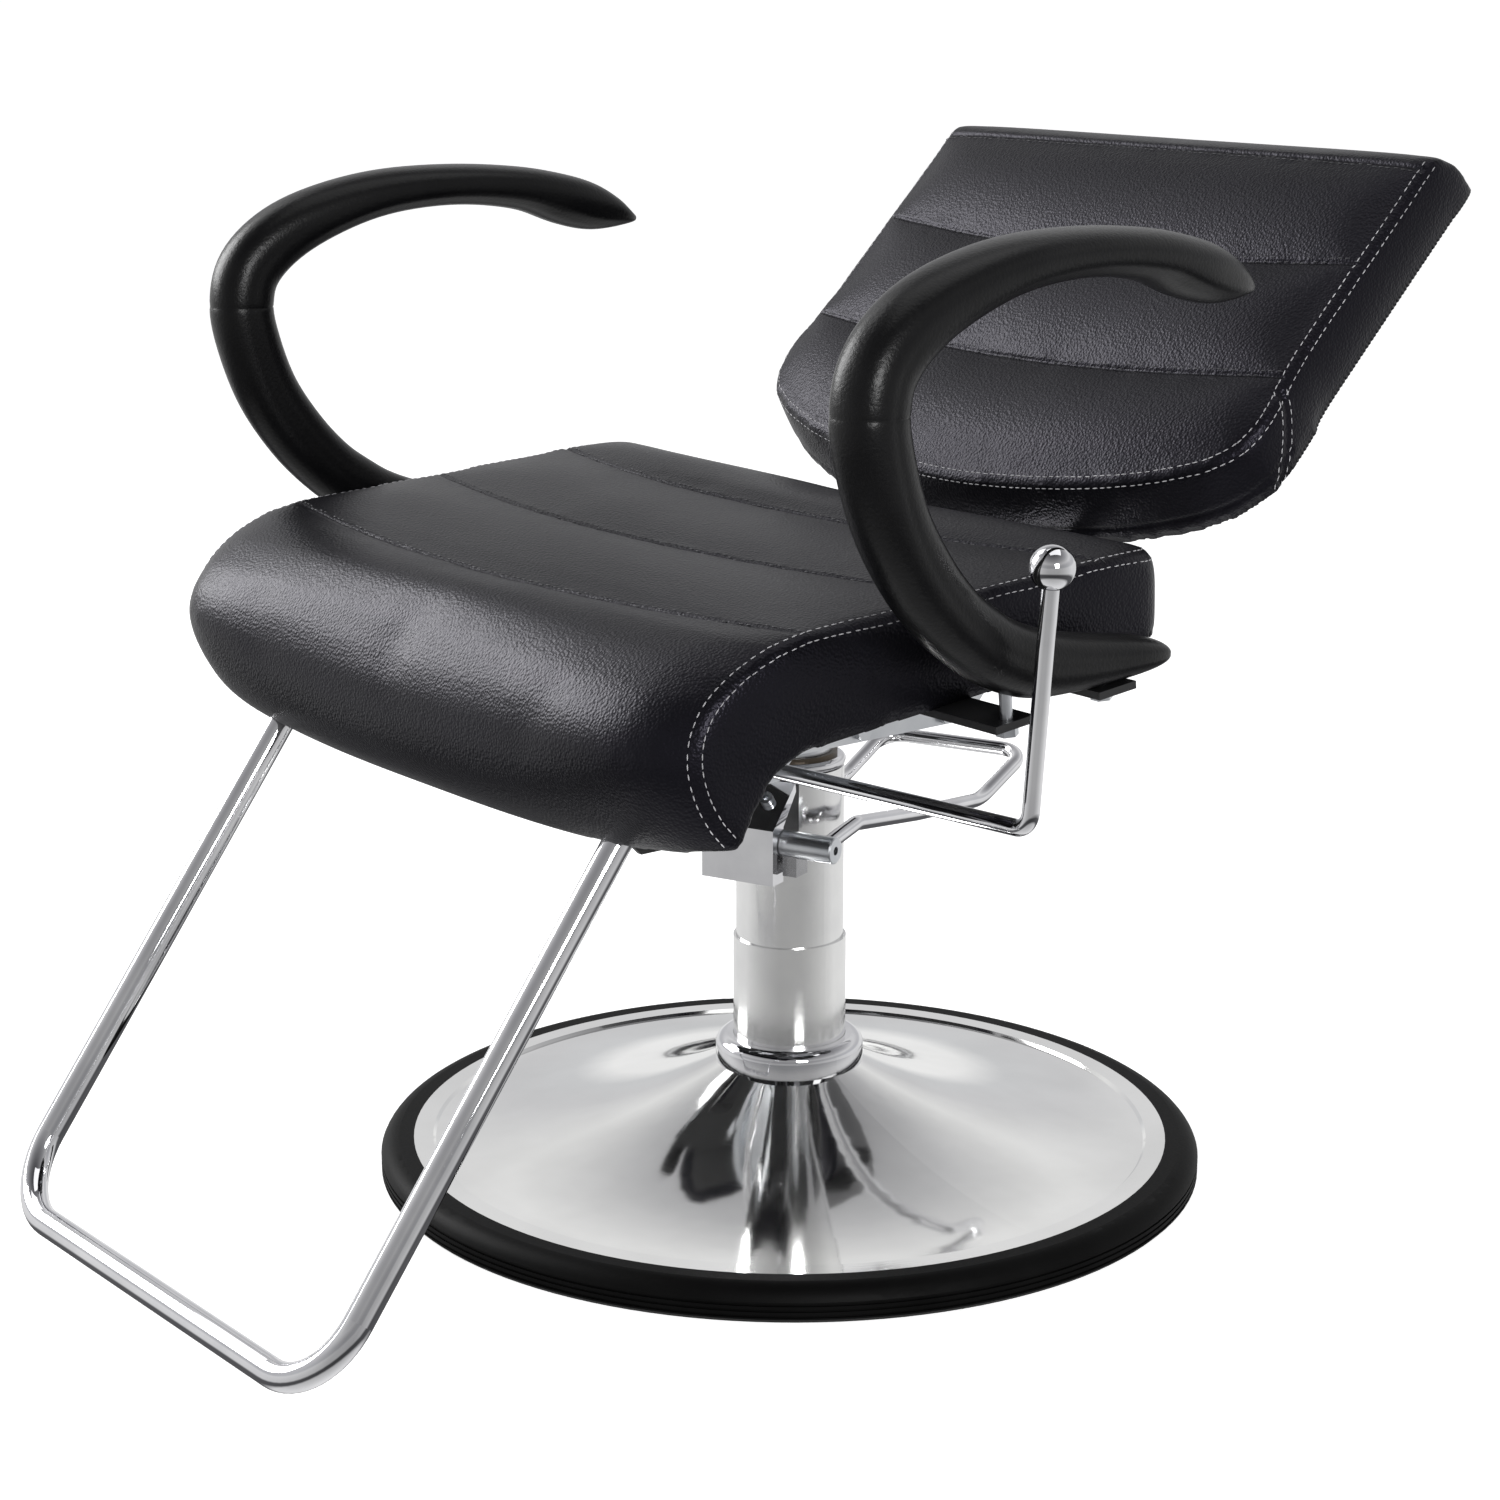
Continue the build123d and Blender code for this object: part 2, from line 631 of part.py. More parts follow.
# The cushion's outline seen from the side, with heights from the board's underside at the column.
nose = [(y, seat_rise + up) for y, up in ((-60, 66), (-229, 53), (-310, 33), (-350, -7), (-335, -51))]
lip_front, lip_foot, lip_back, throat, hollow = [
    (y, seat_rise + up) for y, up in ((-312, -81), (-302, -89), (-293, -82), (-258, -37), (-236, -25))]
with BuildPart() as seat_cushion:
    rear_top = (seat_back_y, seat_rise + 65)
    rear_foot = (seat_back_y, underside(seat_back_y))
    board_edge = (-205, underside(-205))
    with BuildSketch(Plane.YZ.offset(-seat_half_width)):
        with BuildLine():
            Polyline(board_edge, rear_foot, rear_top)
            Spline(rear_top, *nose, lip_front)
            ThreePointArc(lip_front, lip_foot, lip_back)
            Line(lip_back, throat)
            Spline(throat, hollow, board_edge)
        make_face()
    extrude(amount=2 * seat_half_width)
    fillet(seat_cushion.edges().filter_by(Axis.Z), 26)
    with BuildSketch(seat_plane.offset(-1)):
        with Locations((0, board_middle)):
            RectangleRounded(2 * (board_half + soft_gap), board_length + 2 * soft_gap, 20)
    extrude(amount=board_thickness + 1 + soft_gap, mode=Mode.SUBTRACT)
    for hand in (-1, 1):
        pocket_foot = (hand * foot_half_width, top_y - 90 * leg_run[0], top_z - 90 * leg_run[1])
        with BuildSketch(Plane(origin=pocket_foot, x_dir=(1, 0, 0), z_dir=leg_dir)):
            Rectangle(pocket_width, 2 * foot_tube_radius + 3)
        extrude(amount=90 + 4, mode=Mode.SUBTRACT)
finish("seat_cushion", seat_cushion)

# ================================================================ arms
# Stations up the loop: along the arm plane, height, thickness seen from the side, width across.
arm_stations = [(-131, 450, 36, 38), (-165, 481, 43, 40), (-189, 508, 46, 42), (-222, 566, 46, 44),
                (-233, 614, 46, 44), (-223, 641, 46, 44), (-185, 669, 43, 47), (-126, 688, 35, 51),
                (-60, 693, 31, 53), (20, 683, 36, 52), (53, 675, 40, 46), (88, 665, 18, 26)]


def arm_loop(stations):
    """Moulded arm: a loft up the loop, and the shoe that sits on the seat brackets."""
    with BuildPart() as arm:
        count = len(stations)
        for index, (along, up, thick, wide) in enumerate(stations):
            before = stations[max(index - 1, 0)]
            after = stations[min(index + 1, count - 1)]
            way = Vector(after[0] - before[0], after[1] - before[1])
            normal = arm_plane.x_dir * way.X + arm_plane.y_dir * way.Y
            place = arm_plane.from_local_coords((along, up, 0))
            with BuildSketch(Plane(origin=place, x_dir=arm_plane.z_dir, z_dir=normal)):
                Ellipse(wide / 2, thick / 2)
        loft()
        with BuildSketch(arm_plane.offset(-shoe_width / 2)):
            with BuildLine():
                Polyline((-122, 421), (15, 428.5))
                ThreePointArc((15, 428.5), (29, 440), (17, 449))
                Spline((17, 449), (-60, 462), (-115, 474))
                Polyline((-115, 474), (-152, 466), (-148, 434), (-122, 421))
            make_face()
        extrude(amount=shoe_width)
        for strap_y in strap_places:
            with BuildSketch(at_point(seat_plane, arm_line_x(strap_y), strap_y, 0)):
                Circle(arm_bolt_radius + running_gap)
            extrude(amount=20, mode=Mode.SUBTRACT)
    return arm


def arm_line_x(along):
    """Distance of the arm plane from the middle at a place along the seat."""
    return arm_offset - along * sin(toe) / cos(toe)


arm_left = arm_loop(arm_stations)
finish("arm_left", arm_left)
with BuildPart() as arm_right:
    mirror(arm_left.part, about=Plane.YZ)
finish("arm_right", arm_right)

# Flat steel brackets under the board: one root plate and two straps out to each arm.
strap_end = arm_offset + 17
with BuildPart() as arm_bracket_left:
    with BuildSketch(seat_plane):
        with Locations((root_in + 25, (strap_places[0] + strap_places[1]) / 2)):
            Rectangle(50, strap_places[1] - strap_places[0] + strap_width)
        for strap_y in strap_places:
            with Locations(((root_in + strap_end) / 2, strap_y)):
                Rectangle(strap_end - root_in, strap_width)
        bolt_line = [(x, y) for y in strap_places for x in (arm_line_x(y), root_in + 20)]
        with Locations(*bolt_line):
            Circle(arm_bolt_radius + seat_gap, mode=Mode.SUBTRACT)
    extrude(amount=-bracket_sheet)
finish("arm_bracket_left", arm_bracket_left)
with BuildPart() as arm_bracket_right:
    mirror(arm_bracket_left.part, about=Plane.YZ)
finish("arm_bracket_right", arm_bracket_right)

with BuildPart() as arm_bolts:
    for hand in (-1, 1):
        for y in strap_places:
            for x, depth in ((arm_line_x(y), 17), (root_in + 20, board_thickness - 4)):
                with BuildSketch(at_point(seat_plane, hand * x, y, -bracket_sheet)):
                    Circle(arm_bolt_radius)
                extrude(amount=bracket_sheet + depth)
                with BuildSketch(at_point(seat_plane, hand * x, y, -bracket_sheet)):
                    RegularPolygon(arm_bolt_radius * 1.8, 6)
                extrude(amount=-5.5)
finish("arm_bolts", arm_bolts)

# ================================================================ footrest
def leg_point(distance):
    """Point of the leg's centre line in the YZ plane, measured from its top end."""
    return (top_y - distance * leg_run[0], top_z - distance * leg_run[1])


# U-shaped tube, drilled across near its two top ends.
foot_bolt_places = [leg_point(22), leg_point(62)]
with BuildPart() as footrest:
    with BuildLine() as foot_line:
        FilletPolyline((foot_half_width, top_y, top_z), (foot_half_width, foot_front, foot_low),
                       (-foot_half_width, foot_front, foot_low), (-foot_half_width, top_y, top_z),
                       radius=foot_bend)
    with BuildSketch(Plane(origin=foot_line.line @ 0, z_dir=foot_line.line % 0)):
        Circle(foot_tube_radius)
        Circle(foot_tube_radius - foot_wall, mode=Mode.SUBTRACT)
    sweep(path=foot_line.line)
    for hand in (-1, 1):
        with BuildSketch(side_of(Plane.XY, hand * (foot_half_width + foot_tube_radius + 2))):
            with Locations(*foot_bolt_places):
                Circle(arm_bolt_radius + seat_gap)
        extrude(amount=-hand * 2 * (foot_tube_radius + 2), mode=Mode.SUBTRACT)
finish("footrest", footrest)

# One plate beside each leg, hung from the board, with two bolts through the tube and one stop bolt.
bracket_x = foot_half_width - foot_tube_radius - seat_gap
low_y, low_z = leg_point(74)
stop_place = (low_y + 48, low_z - 13)
for name, hand in (("footrest_bracket_left", 1), ("footrest_bracket_right", -1)):
    with BuildPart() as foot_bracket:
        with BuildSketch(side_of(Plane.XY, hand * bracket_x)):
            with BuildLine():
                Polyline((low_y - 2, low_z), (low_y + 20, low_z - 22), (low_y + 58, low_z - 22), (-196, 372),
                         (-196, underside(-196)), (-216, underside(-216)), (-222, underside(-222) - 5),
                         (-243, underside(-243) - 7), (top_y - 2, top_z - 10), (low_y - 2, low_z))
            make_face()
        extrude(amount=-hand * foot_bracket_sheet)
        with BuildSketch(seat_plane):
            with Locations((hand * (bracket_x - 15), -205)):
                Rectangle(30, 22)
        extrude(amount=-flange_sheet)
        with BuildSketch(side_of(Plane.XY, hand * (bracket_x + 1))):
            with Locations(*foot_bolt_places, stop_place):
                Circle(arm_bolt_radius + seat_gap)
        extrude(amount=-hand * (foot_bracket_sheet + 2), mode=Mode.SUBTRACT)
    finish(name, foot_bracket)

foot_bolt_set = []
for hand in (-1, 1):
    for y, z in foot_bolt_places:
        foot_bolt_set.append(cross_bolt(hand, foot_half_width + foot_tube_radius, y, z, arm_bolt_radius,
                                        2 * foot_tube_radius + foot_bracket_sheet + 8))
    foot_bolt_set.append(cross_bolt(hand, bracket_x, *stop_place, arm_bolt_radius, foot_bracket_sheet + 8))
with BuildPart() as footrest_bolts:
    add(foot_bolt_set)
    for hand in (-1, 1):
        with BuildSketch(side_of(Plane.XY, hand * (bracket_x - foot_bracket_sheet))):
            with Locations(*foot_bolt_places, stop_place):
                RegularPolygon(7, 6)
        extrude(amount=-hand * 6)
finish("footrest_bolts", footrest_bolts)

# ================================================================ back
bar_top = 215            # up the back board
back_board_half = back_half_width - 25
back_board_top = back_height - 31
back_board_outline = [(-175, 55), (175, 55), (back_board_half, 105), (back_board_half, back_board_top),
                      (-back_board_half, back_board_top), (-back_board_half, 105), (-175, 55)]
back_screw_places = [(hand * (bar_x + bar_thickness + 14), y) for hand in (-1, 1) for y in bar_screws]
with BuildPart() as back_board:
    with BuildSketch(back_plane.offset(-back_depth)):
        with BuildLine():
            Polyline(*back_board_outline)
        make_face()
        fillet(vertices(), 18)
    extrude(amount=back_board_thickness)
    with BuildSketch(back_plane.offset(-back_depth)):
        with Locations(*back_screw_places):
            Circle(wood_screw_radius + running_gap)
    extrude(amount=back_board_thickness - 2, mode=Mode.SUBTRACT)
finish("back_board", back_board)

with BuildPart() as back_cushion:
    with BuildSketch(back_plane.offset(-back_depth)):
        with BuildLine():
            Line((-back_half_width, back_height), (back_half_width, back_height))
            Line((back_half_width, back_height), (back_half_width, 150))
            Spline((back_half_width, 150), (back_half_width + 8, 105), (back_half_width - 10, 55), (164, 20),
                   (0, 0), (-164, 20), (10 - back_half_width, 55), (-back_half_width - 8, 105),
                   (-back_half_width, 150))
            Line((-back_half_width, 150), (-back_half_width, back_height))
        make_face()
    extrude(amount=back_depth + back_crown)
    front_edges = back_cushion.faces().sort_by(Axis(back_plane.origin, back_plane.z_dir))[-1].edges()
    chamfer(front_edges, back_crown - 2, 22)
    with BuildSketch(side_of(back_plane, -back_half_width)):
        with BuildLine():
            Polyline((back_height - 1, -back_depth), (back_height + 17, -back_depth - 7),
                     (back_height + 14, -back_depth - 12), (back_height - 25, -back_depth),
                     (back_height - 1, -back_depth))
        make_face()
    extrude(amount=2 * back_half_width)
    with BuildSketch(back_plane.offset(-back_depth - 1)):
        with BuildLine():
            Polyline(*back_board_outline)
        make_face()
        offset(amount=soft_gap)
    extrude(amount=back_board_thickness + 1 + soft_gap, mode=Mode.SUBTRACT)
finish("back_cushion", back_cushion)

# Back bars: from the hinge, up and onto the back board.
pivot_local = back_plane.to_local_coords(Vector(0, pivot_y, pivot_z))
bar_back = -back_depth - seat_gap
for name, hand in (("back_bar_left", 1), ("back_bar_right", -1)):
    with BuildPart() as back_bar:
        with BuildSketch(side_of(back_plane, hand * bar_x)):
            with BuildLine():
                Polyline((bar_top, bar_back), (bar_top, bar_back - bar_width), (20, bar_back - bar_width),
                         (pivot_local.Y + 6, pivot_local.Z - 17), (pivot_local.Y - 8, pivot_local.Z + 16),
                         (2, bar_back), (bar_top, bar_back))
            make_face()
            with Locations((pivot_local.Y, pivot_local.Z)):
                Circle(19)
        extrude(amount=hand * bar_thickness)
        with BuildSketch(back_plane.offset(bar_back)):
            with Locations((hand * (bar_x + bar_thickness + 12), (bar_top + 60) / 2)):
                Rectangle(26, bar_top - 60)
        extrude(amount=-flange_sheet)
        with BuildSketch(side_of(Plane.XY, hand * (bar_x - 1), pivot_y, pivot_z)):
            Circle(cross_tube_radius + running_gap)
        extrude(amount=hand * (bar_thickness + 2), mode=Mode.SUBTRACT)
        with BuildSketch(back_plane.offset(bar_back)):
            with Locations(*[place for place in back_screw_places if place[0] * hand > 0]):
                Circle(wood_screw_radius + seat_gap)
        extrude(amount=-flange_sheet, mode=Mode.SUBTRACT)
    finish(name, back_bar)

with BuildPart() as back_bolts:
    with BuildSketch(back_plane.offset(bar_back - flange_sheet)):
        with Locations(*back_screw_places):
            Circle(wood_screw_radius)
    extrude(amount=flange_sheet + seat_gap + back_board_thickness - 3)
    with BuildSketch(back_plane.offset(bar_back - flange_sheet)):
        with Locations(*back_screw_places):
            RegularPolygon(5.8, 6)
    extrude(amount=-4)
finish("back_bolts", back_bolts)

# Cross tube on the hinge line, with the crank that the lock pushes against.
tube_half = rail_x - 0.5
with BuildPart() as back_cross_tube:
    with BuildSketch(side_of(Plane.XY, -tube_half, pivot_y, pivot_z)):
        Circle(cross_tube_radius)
    extrude(amount=2 * tube_half)
    with BuildSketch(side_of(Plane.XY, lock_x - 3)):
        with Locations((pivot_y, pivot_z - crank_length / 2)):
            Rectangle(14, crank_length)
        with Locations((pivot_y, pivot_z - crank_length)):
            Circle(9)
    extrude(amount=6)
    with BuildSketch(side_of(Plane.XY, lock_x - 4, pivot_y, pivot_z - crank_length)):
        Circle(crank_pin_radius + crank_slack)
    extrude(amount=8, mode=Mode.SUBTRACT)
    with BuildSketch(side_of(Plane.XY, -tube_half, pivot_y, pivot_z)):
        Circle(pivot_bolt_radius + running_gap)
    extrude(amount=2 * tube_half, mode=Mode.SUBTRACT)
finish("back_cross_tube", back_cross_tube)

# ================================================================ lock strut
bracket_root_front, bracket_root_back = 413.8, 417   # the seat flange above the bracket's ears
with BuildPart() as lock_bracket:
    for ear_x in (lock_x - eye_thickness / 2 - 5, lock_x + eye_thickness / 2 + 1):
        with BuildSketch(side_of(Plane.XY, ear_x)):
            with BuildLine():
                Polyline((lock_front_y - 16, lock_z), (lock_front_y - 8, lock_z - 14),
                         (lock_front_y + 8, lock_z - 14), (lock_front_y + 16, lock_z),
                         (lock_front_y + 16, bracket_root_back), (lock_front_y - 16, bracket_root_front),
                         (lock_front_y - 16, lock_z))
            make_face()
            with Locations((lock_front_y, lock_z)):
                Circle(5 + running_gap, mode=Mode.SUBTRACT)
        extrude(amount=4)
    with BuildSketch(seat_plane):
        with Locations((lock_x, lock_front_y - 5)):
            Rectangle(eye_thickness + 30, 40)
    extrude(amount=-flange_sheet)
finish("lock_bracket", lock_bracket)

with BuildPart() as lock_pivot_pin:
    pin_half = eye_thickness / 2 + 8
    with BuildSketch(side_of(Plane.XY, lock_x - pin_half, lock_front_y, lock_z)):
        Circle(5)
    extrude(amount=2 * pin_half)
    with BuildSketch(side_of(Plane.XY, lock_x + pin_half, lock_front_y, lock_z)):
        Circle(8)
    extrude(amount=3)
finish("lock_pivot_pin", lock_pivot_pin)

with BuildPart() as lock_cylinder:
    with BuildSketch(side_of(Plane.XY, lock_x - eye_thickness / 2)):
        with Locations((lock_front_y, lock_z)):
            Circle(10)
        with Locations((lock_front_y + 10, lock_z)):
            Rectangle(20, 16)
    extrude(amount=eye_thickness)
    with BuildSketch(Plane.XZ.offset(-(lock_front_y + 18))):
        with Locations((lock_x, lock_z)):
            Circle(lock_radius)
    extrude(amount=-111)
    with BuildSketch(Plane.XZ.offset(-(lock_front_y + 60))):
        with Locations((lock_x, lock_z)):
            Circle(lock_rod_radius + running_gap)
    extrude(amount=-115, mode=Mode.SUBTRACT)
    with BuildSketch(side_of(Plane.XY, lock_x - 20, lock_front_y, lock_z)):
        Circle(5 + running_gap)
    extrude(amount=40, mode=Mode.SUBTRACT)
    with BuildSketch(Plane.XZ.offset(-(lock_front_y - 15))):
        with Locations((lock_x, lock_z)):
            Circle(3 + running_gap)
    extrude(amount=-15, mode=Mode.SUBTRACT)
finish("lock_cylinder", lock_cylinder)

with BuildPart() as lock_rod:
    with BuildSketch(Plane.XZ.offset(-(lock_front_y + 62))):
        with Locations((lock_x, lock_z)):
            Circle(lock_rod_radius)
    extrude(amount=-(pivot_y - clevis_reach - lock_front_y - 62))
finish("lock_rod", lock_rod)

with BuildPart() as rod_clevis:
    with BuildSketch(Plane.XZ.offset(-(pivot_y - clevis_reach))):
        with Locations((lock_x, lock_z)):
            Rectangle(20, 16)
    extrude(amount=-8)
    for ear_x in (lock_x - 10, lock_x + 5):
        with BuildSketch(side_of(Plane.XY, ear_x)):
            with Locations((pivot_y - clevis_reach / 2, lock_z)):
                Rectangle(clevis_reach, 16)
            with Locations((pivot_y, lock_z)):
                Circle(8)
        extrude(amount=5)
    with BuildSketch(side_of(Plane.XY, lock_x - 10, pivot_y, lock_z)):
        Circle(crank_pin_radius)
    extrude(amount=20)
finish("rod_clevis", rod_clevis)

# Release pin in the strut's front eye, pressed by the lever's cam.
pin_tip = lock_front_y - 14
with BuildPart() as release_pin:
    with BuildSketch(Plane.XZ.offset(-pin_tip)):
        with Locations((lock_x, lock_z)):
            Circle(3)
    extrude(amount=-8.6)
finish("release_pin", release_pin)

# ================================================================ recline lever
with BuildPart() as lever_bush:
    with BuildSketch(side_of(lever_plane, rail_x - 1)):
        Circle(lever_bore)
        Circle(lever_radius + running_gap, mode=Mode.SUBTRACT)
    extrude(amount=rail_sheet + 3)
finish("lever_bush", lever_bush)

with BuildPart() as lever_bracket:
    with BuildSketch(side_of(Plane.XY, 45)):
        with BuildLine():
            Polyline((lever_y - 14, lever_z - 10), (lever_y + 14, lever_z - 10), (lever_y + 14, 415.4),
                     (lever_y - 14, 412.6), (lever_y - 14, lever_z - 10))
        make_face()
    extrude(amount=4)
    with BuildSketch(seat_plane):
        with Locations((33, lever_y)):
            Rectangle(32, 28)
    extrude(amount=-flange_sheet)
    with BuildSketch(side_of(lever_plane, 42)):
        Circle(lever_radius + running_gap)
    extrude(amount=12, mode=Mode.SUBTRACT)
finish("lever_bracket", lever_bracket)

corner = lever_reach / cos(rise)
grip_lean = radians(lever_lean)
grip_end = (corner + lever_grip * sin(rise), lever_grip * sin(grip_lean), lever_grip * cos(grip_lean))
with BuildPart() as recline_lever:
    lever_route = [lever_plane.from_local_coords(point) for point in ((40, 0, 0), (corner, 0, 0), grip_end)]
    with BuildLine() as lever_line:
        FilletPolyline(*lever_route, radius=12)
    with BuildSketch(Plane(origin=lever_line.line @ 0, z_dir=lever_line.line % 0)):
        Circle(lever_radius)
    sweep(path=lever_line.line)
finish("recline_lever", recline_lever)

with BuildPart() as lever_knob:
    knob_centre = (lever_line.line @ 1) + (lever_line.line % 1) * (knob_radius - 3)
    with Locations(knob_centre):
        Sphere(knob_radius)
    with BuildSketch(Plane(origin=lever_line.line @ 1, z_dir=lever_line.line % 1).offset(-30)):
        Circle(lever_radius)
    extrude(amount=30, mode=Mode.SUBTRACT)
finish("lever_knob", lever_knob)

# Cam on the lever that presses the strut's release pin.
with BuildPart() as lever_cam:
    with BuildSketch(side_of(lever_plane, lock_x - 5)):
        with BuildLine():
            Polyline((-11, -8), (9, -8), (5, 42), (-4, 47), (-11, 24), (-11, -8))
        make_face()
        Circle(lever_radius + running_gap, mode=Mode.SUBTRACT)
    extrude(amount=10)
finish("lever_cam", lever_cam)
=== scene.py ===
import bmesh
import bpy
from math import atan2, cos, exp, pi, radians, sin
from mathutils import Matrix, Vector, noise
from mathutils.bvhtree import BVHTree
from mathutils.kdtree import KDTree


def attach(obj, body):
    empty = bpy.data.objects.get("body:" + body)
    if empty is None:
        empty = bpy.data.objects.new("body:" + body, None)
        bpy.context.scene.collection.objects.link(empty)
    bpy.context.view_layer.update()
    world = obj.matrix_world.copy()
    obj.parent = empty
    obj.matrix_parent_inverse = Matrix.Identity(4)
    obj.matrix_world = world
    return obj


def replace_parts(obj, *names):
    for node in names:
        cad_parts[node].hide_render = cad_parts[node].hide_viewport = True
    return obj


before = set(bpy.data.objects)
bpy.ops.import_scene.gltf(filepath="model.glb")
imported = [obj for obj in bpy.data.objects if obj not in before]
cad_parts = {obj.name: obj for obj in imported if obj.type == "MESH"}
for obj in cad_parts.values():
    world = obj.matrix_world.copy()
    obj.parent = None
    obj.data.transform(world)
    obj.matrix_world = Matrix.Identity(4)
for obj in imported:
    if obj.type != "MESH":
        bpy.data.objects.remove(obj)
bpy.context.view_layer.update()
scene = bpy.context.scene
mm = 0.001


def toLinear(hexText):  # sRGB hex to the linear colour that shaders take
    channels = [int(hexText[i:i + 2], 16) / 255 for i in (1, 3, 5)]
    return tuple(c / 12.92 if c <= 0.04045 else ((c + 0.055) / 1.055) ** 2.4 for c in channels) + (1.0,)


def addNode(tree, kind, settings=None, links=None):
    # a string key is an attribute or a socket's name, a number is a socket's place
    node = tree.nodes.new(kind)
    for key, value in (settings or {}).items():
        if isinstance(key, str) and hasattr(node, key):
            setattr(node, key, value)
        else:
            node.inputs[key].default_value = value
    for key, source in (links or {}).items():
        tree.links.new(source, node.inputs[key])
    return node


def newMaterial(name, shader):
    # returns the material, its tree, its shader node and the Object coordinate socket
    material = bpy.data.materials.new(name)
    material.use_nodes = True
    tree = material.node_tree
    tree.nodes.clear()
    bsdf = addNode(tree, "ShaderNodeBsdfPrincipled", shader)
    addNode(tree, "ShaderNodeOutputMaterial", links={"Surface": bsdf.outputs["BSDF"]})
    place = addNode(tree, "ShaderNodeTexCoord").outputs["Object"]
    return material, tree, bsdf, place


def perMetre(sizeMm):  # texture scale whose cells are this many millimetres across
    return 1000.0 / sizeMm


def mottledColour(tree, bsdf, source, dark, light, low=0.35, high=0.65):
    ramp = addNode(tree, "ShaderNodeValToRGB", links={"Fac": source})
    ramp.color_ramp.elements[0].position = low
    ramp.color_ramp.elements[0].color = toLinear(dark)
    ramp.color_ramp.elements[1].position = high
    ramp.color_ramp.elements[1].color = toLinear(light)
    tree.links.new(ramp.outputs["Color"], bsdf.inputs["Base Color"])


def mottledRoughness(tree, bsdf, source, low, high):
    spread = addNode(tree, "ShaderNodeMapRange", {"To Min": low, "To Max": high}, {"Value": source})
    tree.links.new(spread.outputs["Result"], bsdf.inputs["Roughness"])


# Upholstery vinyl: calendered PVC on a knit, embossed with a fine leather grain. The grain breaks
# the highlight into soft satin specks, and the film's violet cast shows only where light rakes it.
vinylLook = {
    "grain": 1.9,          # mm, embossed cell; the real 1.2 mm grain is too fine to show
    "crease": 5.5,         # mm, broader leather creasing over the grain
    "cloud": 90.0,         # mm, slow variation of tone and gloss
    "dark": "#070709", "light": "#0b0b0e",
    "gloss": (0.33, 0.42),
    "emboss": 0.85, "embossDepth": 0.4,
}


def makeVinyl(name, look):
    material, tree, bsdf, place = newMaterial(name, {
        "IOR": 1.52, "Specular IOR Level": 0.16, "Specular Tint": toLinear("#dfd9f7"),
        "Coat Weight": 0.05, "Coat Roughness": 0.16, "Coat IOR": 1.4})
    cloud = addNode(tree, "ShaderNodeTexNoise", {"Scale": perMetre(look["cloud"]), "Detail": 3.0},
                    {"Vector": place})
    bend = addNode(tree, "ShaderNodeTexNoise", {"Scale": perMetre(look["crease"]), "Detail": 2.0},
                   {"Vector": place})
    shift = addNode(tree, "ShaderNodeVectorMath", {"operation": "SCALE", "Scale": look["grain"] * mm * 0.5},
                    {0: bend.outputs["Color"]})
    warped = addNode(tree, "ShaderNodeVectorMath", {"operation": "ADD"},
                     {0: place, 1: shift.outputs["Vector"]})
    grain = addNode(tree, "ShaderNodeTexVoronoi",
                    {"feature": "SMOOTH_F1", "Scale": perMetre(look["grain"]), "Smoothness": 0.6},
                    {"Vector": warped.outputs["Vector"]})
    height = addNode(tree, "ShaderNodeMath", {"operation": "MULTIPLY_ADD", 1: 0.15},
                     {0: bend.outputs["Fac"], 2: grain.outputs["Distance"]})
    bump = addNode(tree, "ShaderNodeBump", {"Strength": look["emboss"], "Distance": look["embossDepth"] * mm},
                   {"Height": height.outputs["Value"]})
    tree.links.new(bump.outputs["Normal"], bsdf.inputs["Normal"])
    tree.links.new(bump.outputs["Normal"], bsdf.inputs["Coat Normal"])
    mottledColour(tree, bsdf, cloud.outputs["Fac"], look["dark"], look["light"])
    mottledRoughness(tree, bsdf, cloud.outputs["Fac"], *look["gloss"])
    return material


# Chrome plate on polished steel tube: near mirror, with faint draw lines and handling haze.
def makeChrome(name, tone, gloss, haze, wobble=0.02):
    material, tree, bsdf, place = newMaterial(name, {"Metallic": 1.0})
    cloud = addNode(tree, "ShaderNodeTexNoise", {"Scale": perMetre(60.0), "Detail": 4.0}, {"Vector": place})
    fine = addNode(tree, "ShaderNodeTexNoise", {"Scale": perMetre(3.0), "Detail": 2.0}, {"Vector": place})
    mottledColour(tree, bsdf, cloud.outputs["Fac"], tone[0], tone[1])
    mottledRoughness(tree, bsdf, fine.outputs["Fac"], gloss, haze)
    bump = addNode(tree, "ShaderNodeBump", {"Strength": wobble, "Distance": 0.2 * mm},
                   {"Height": cloud.outputs["Fac"]})
    tree.links.new(bump.outputs["Normal"], bsdf.inputs["Normal"])
    return material


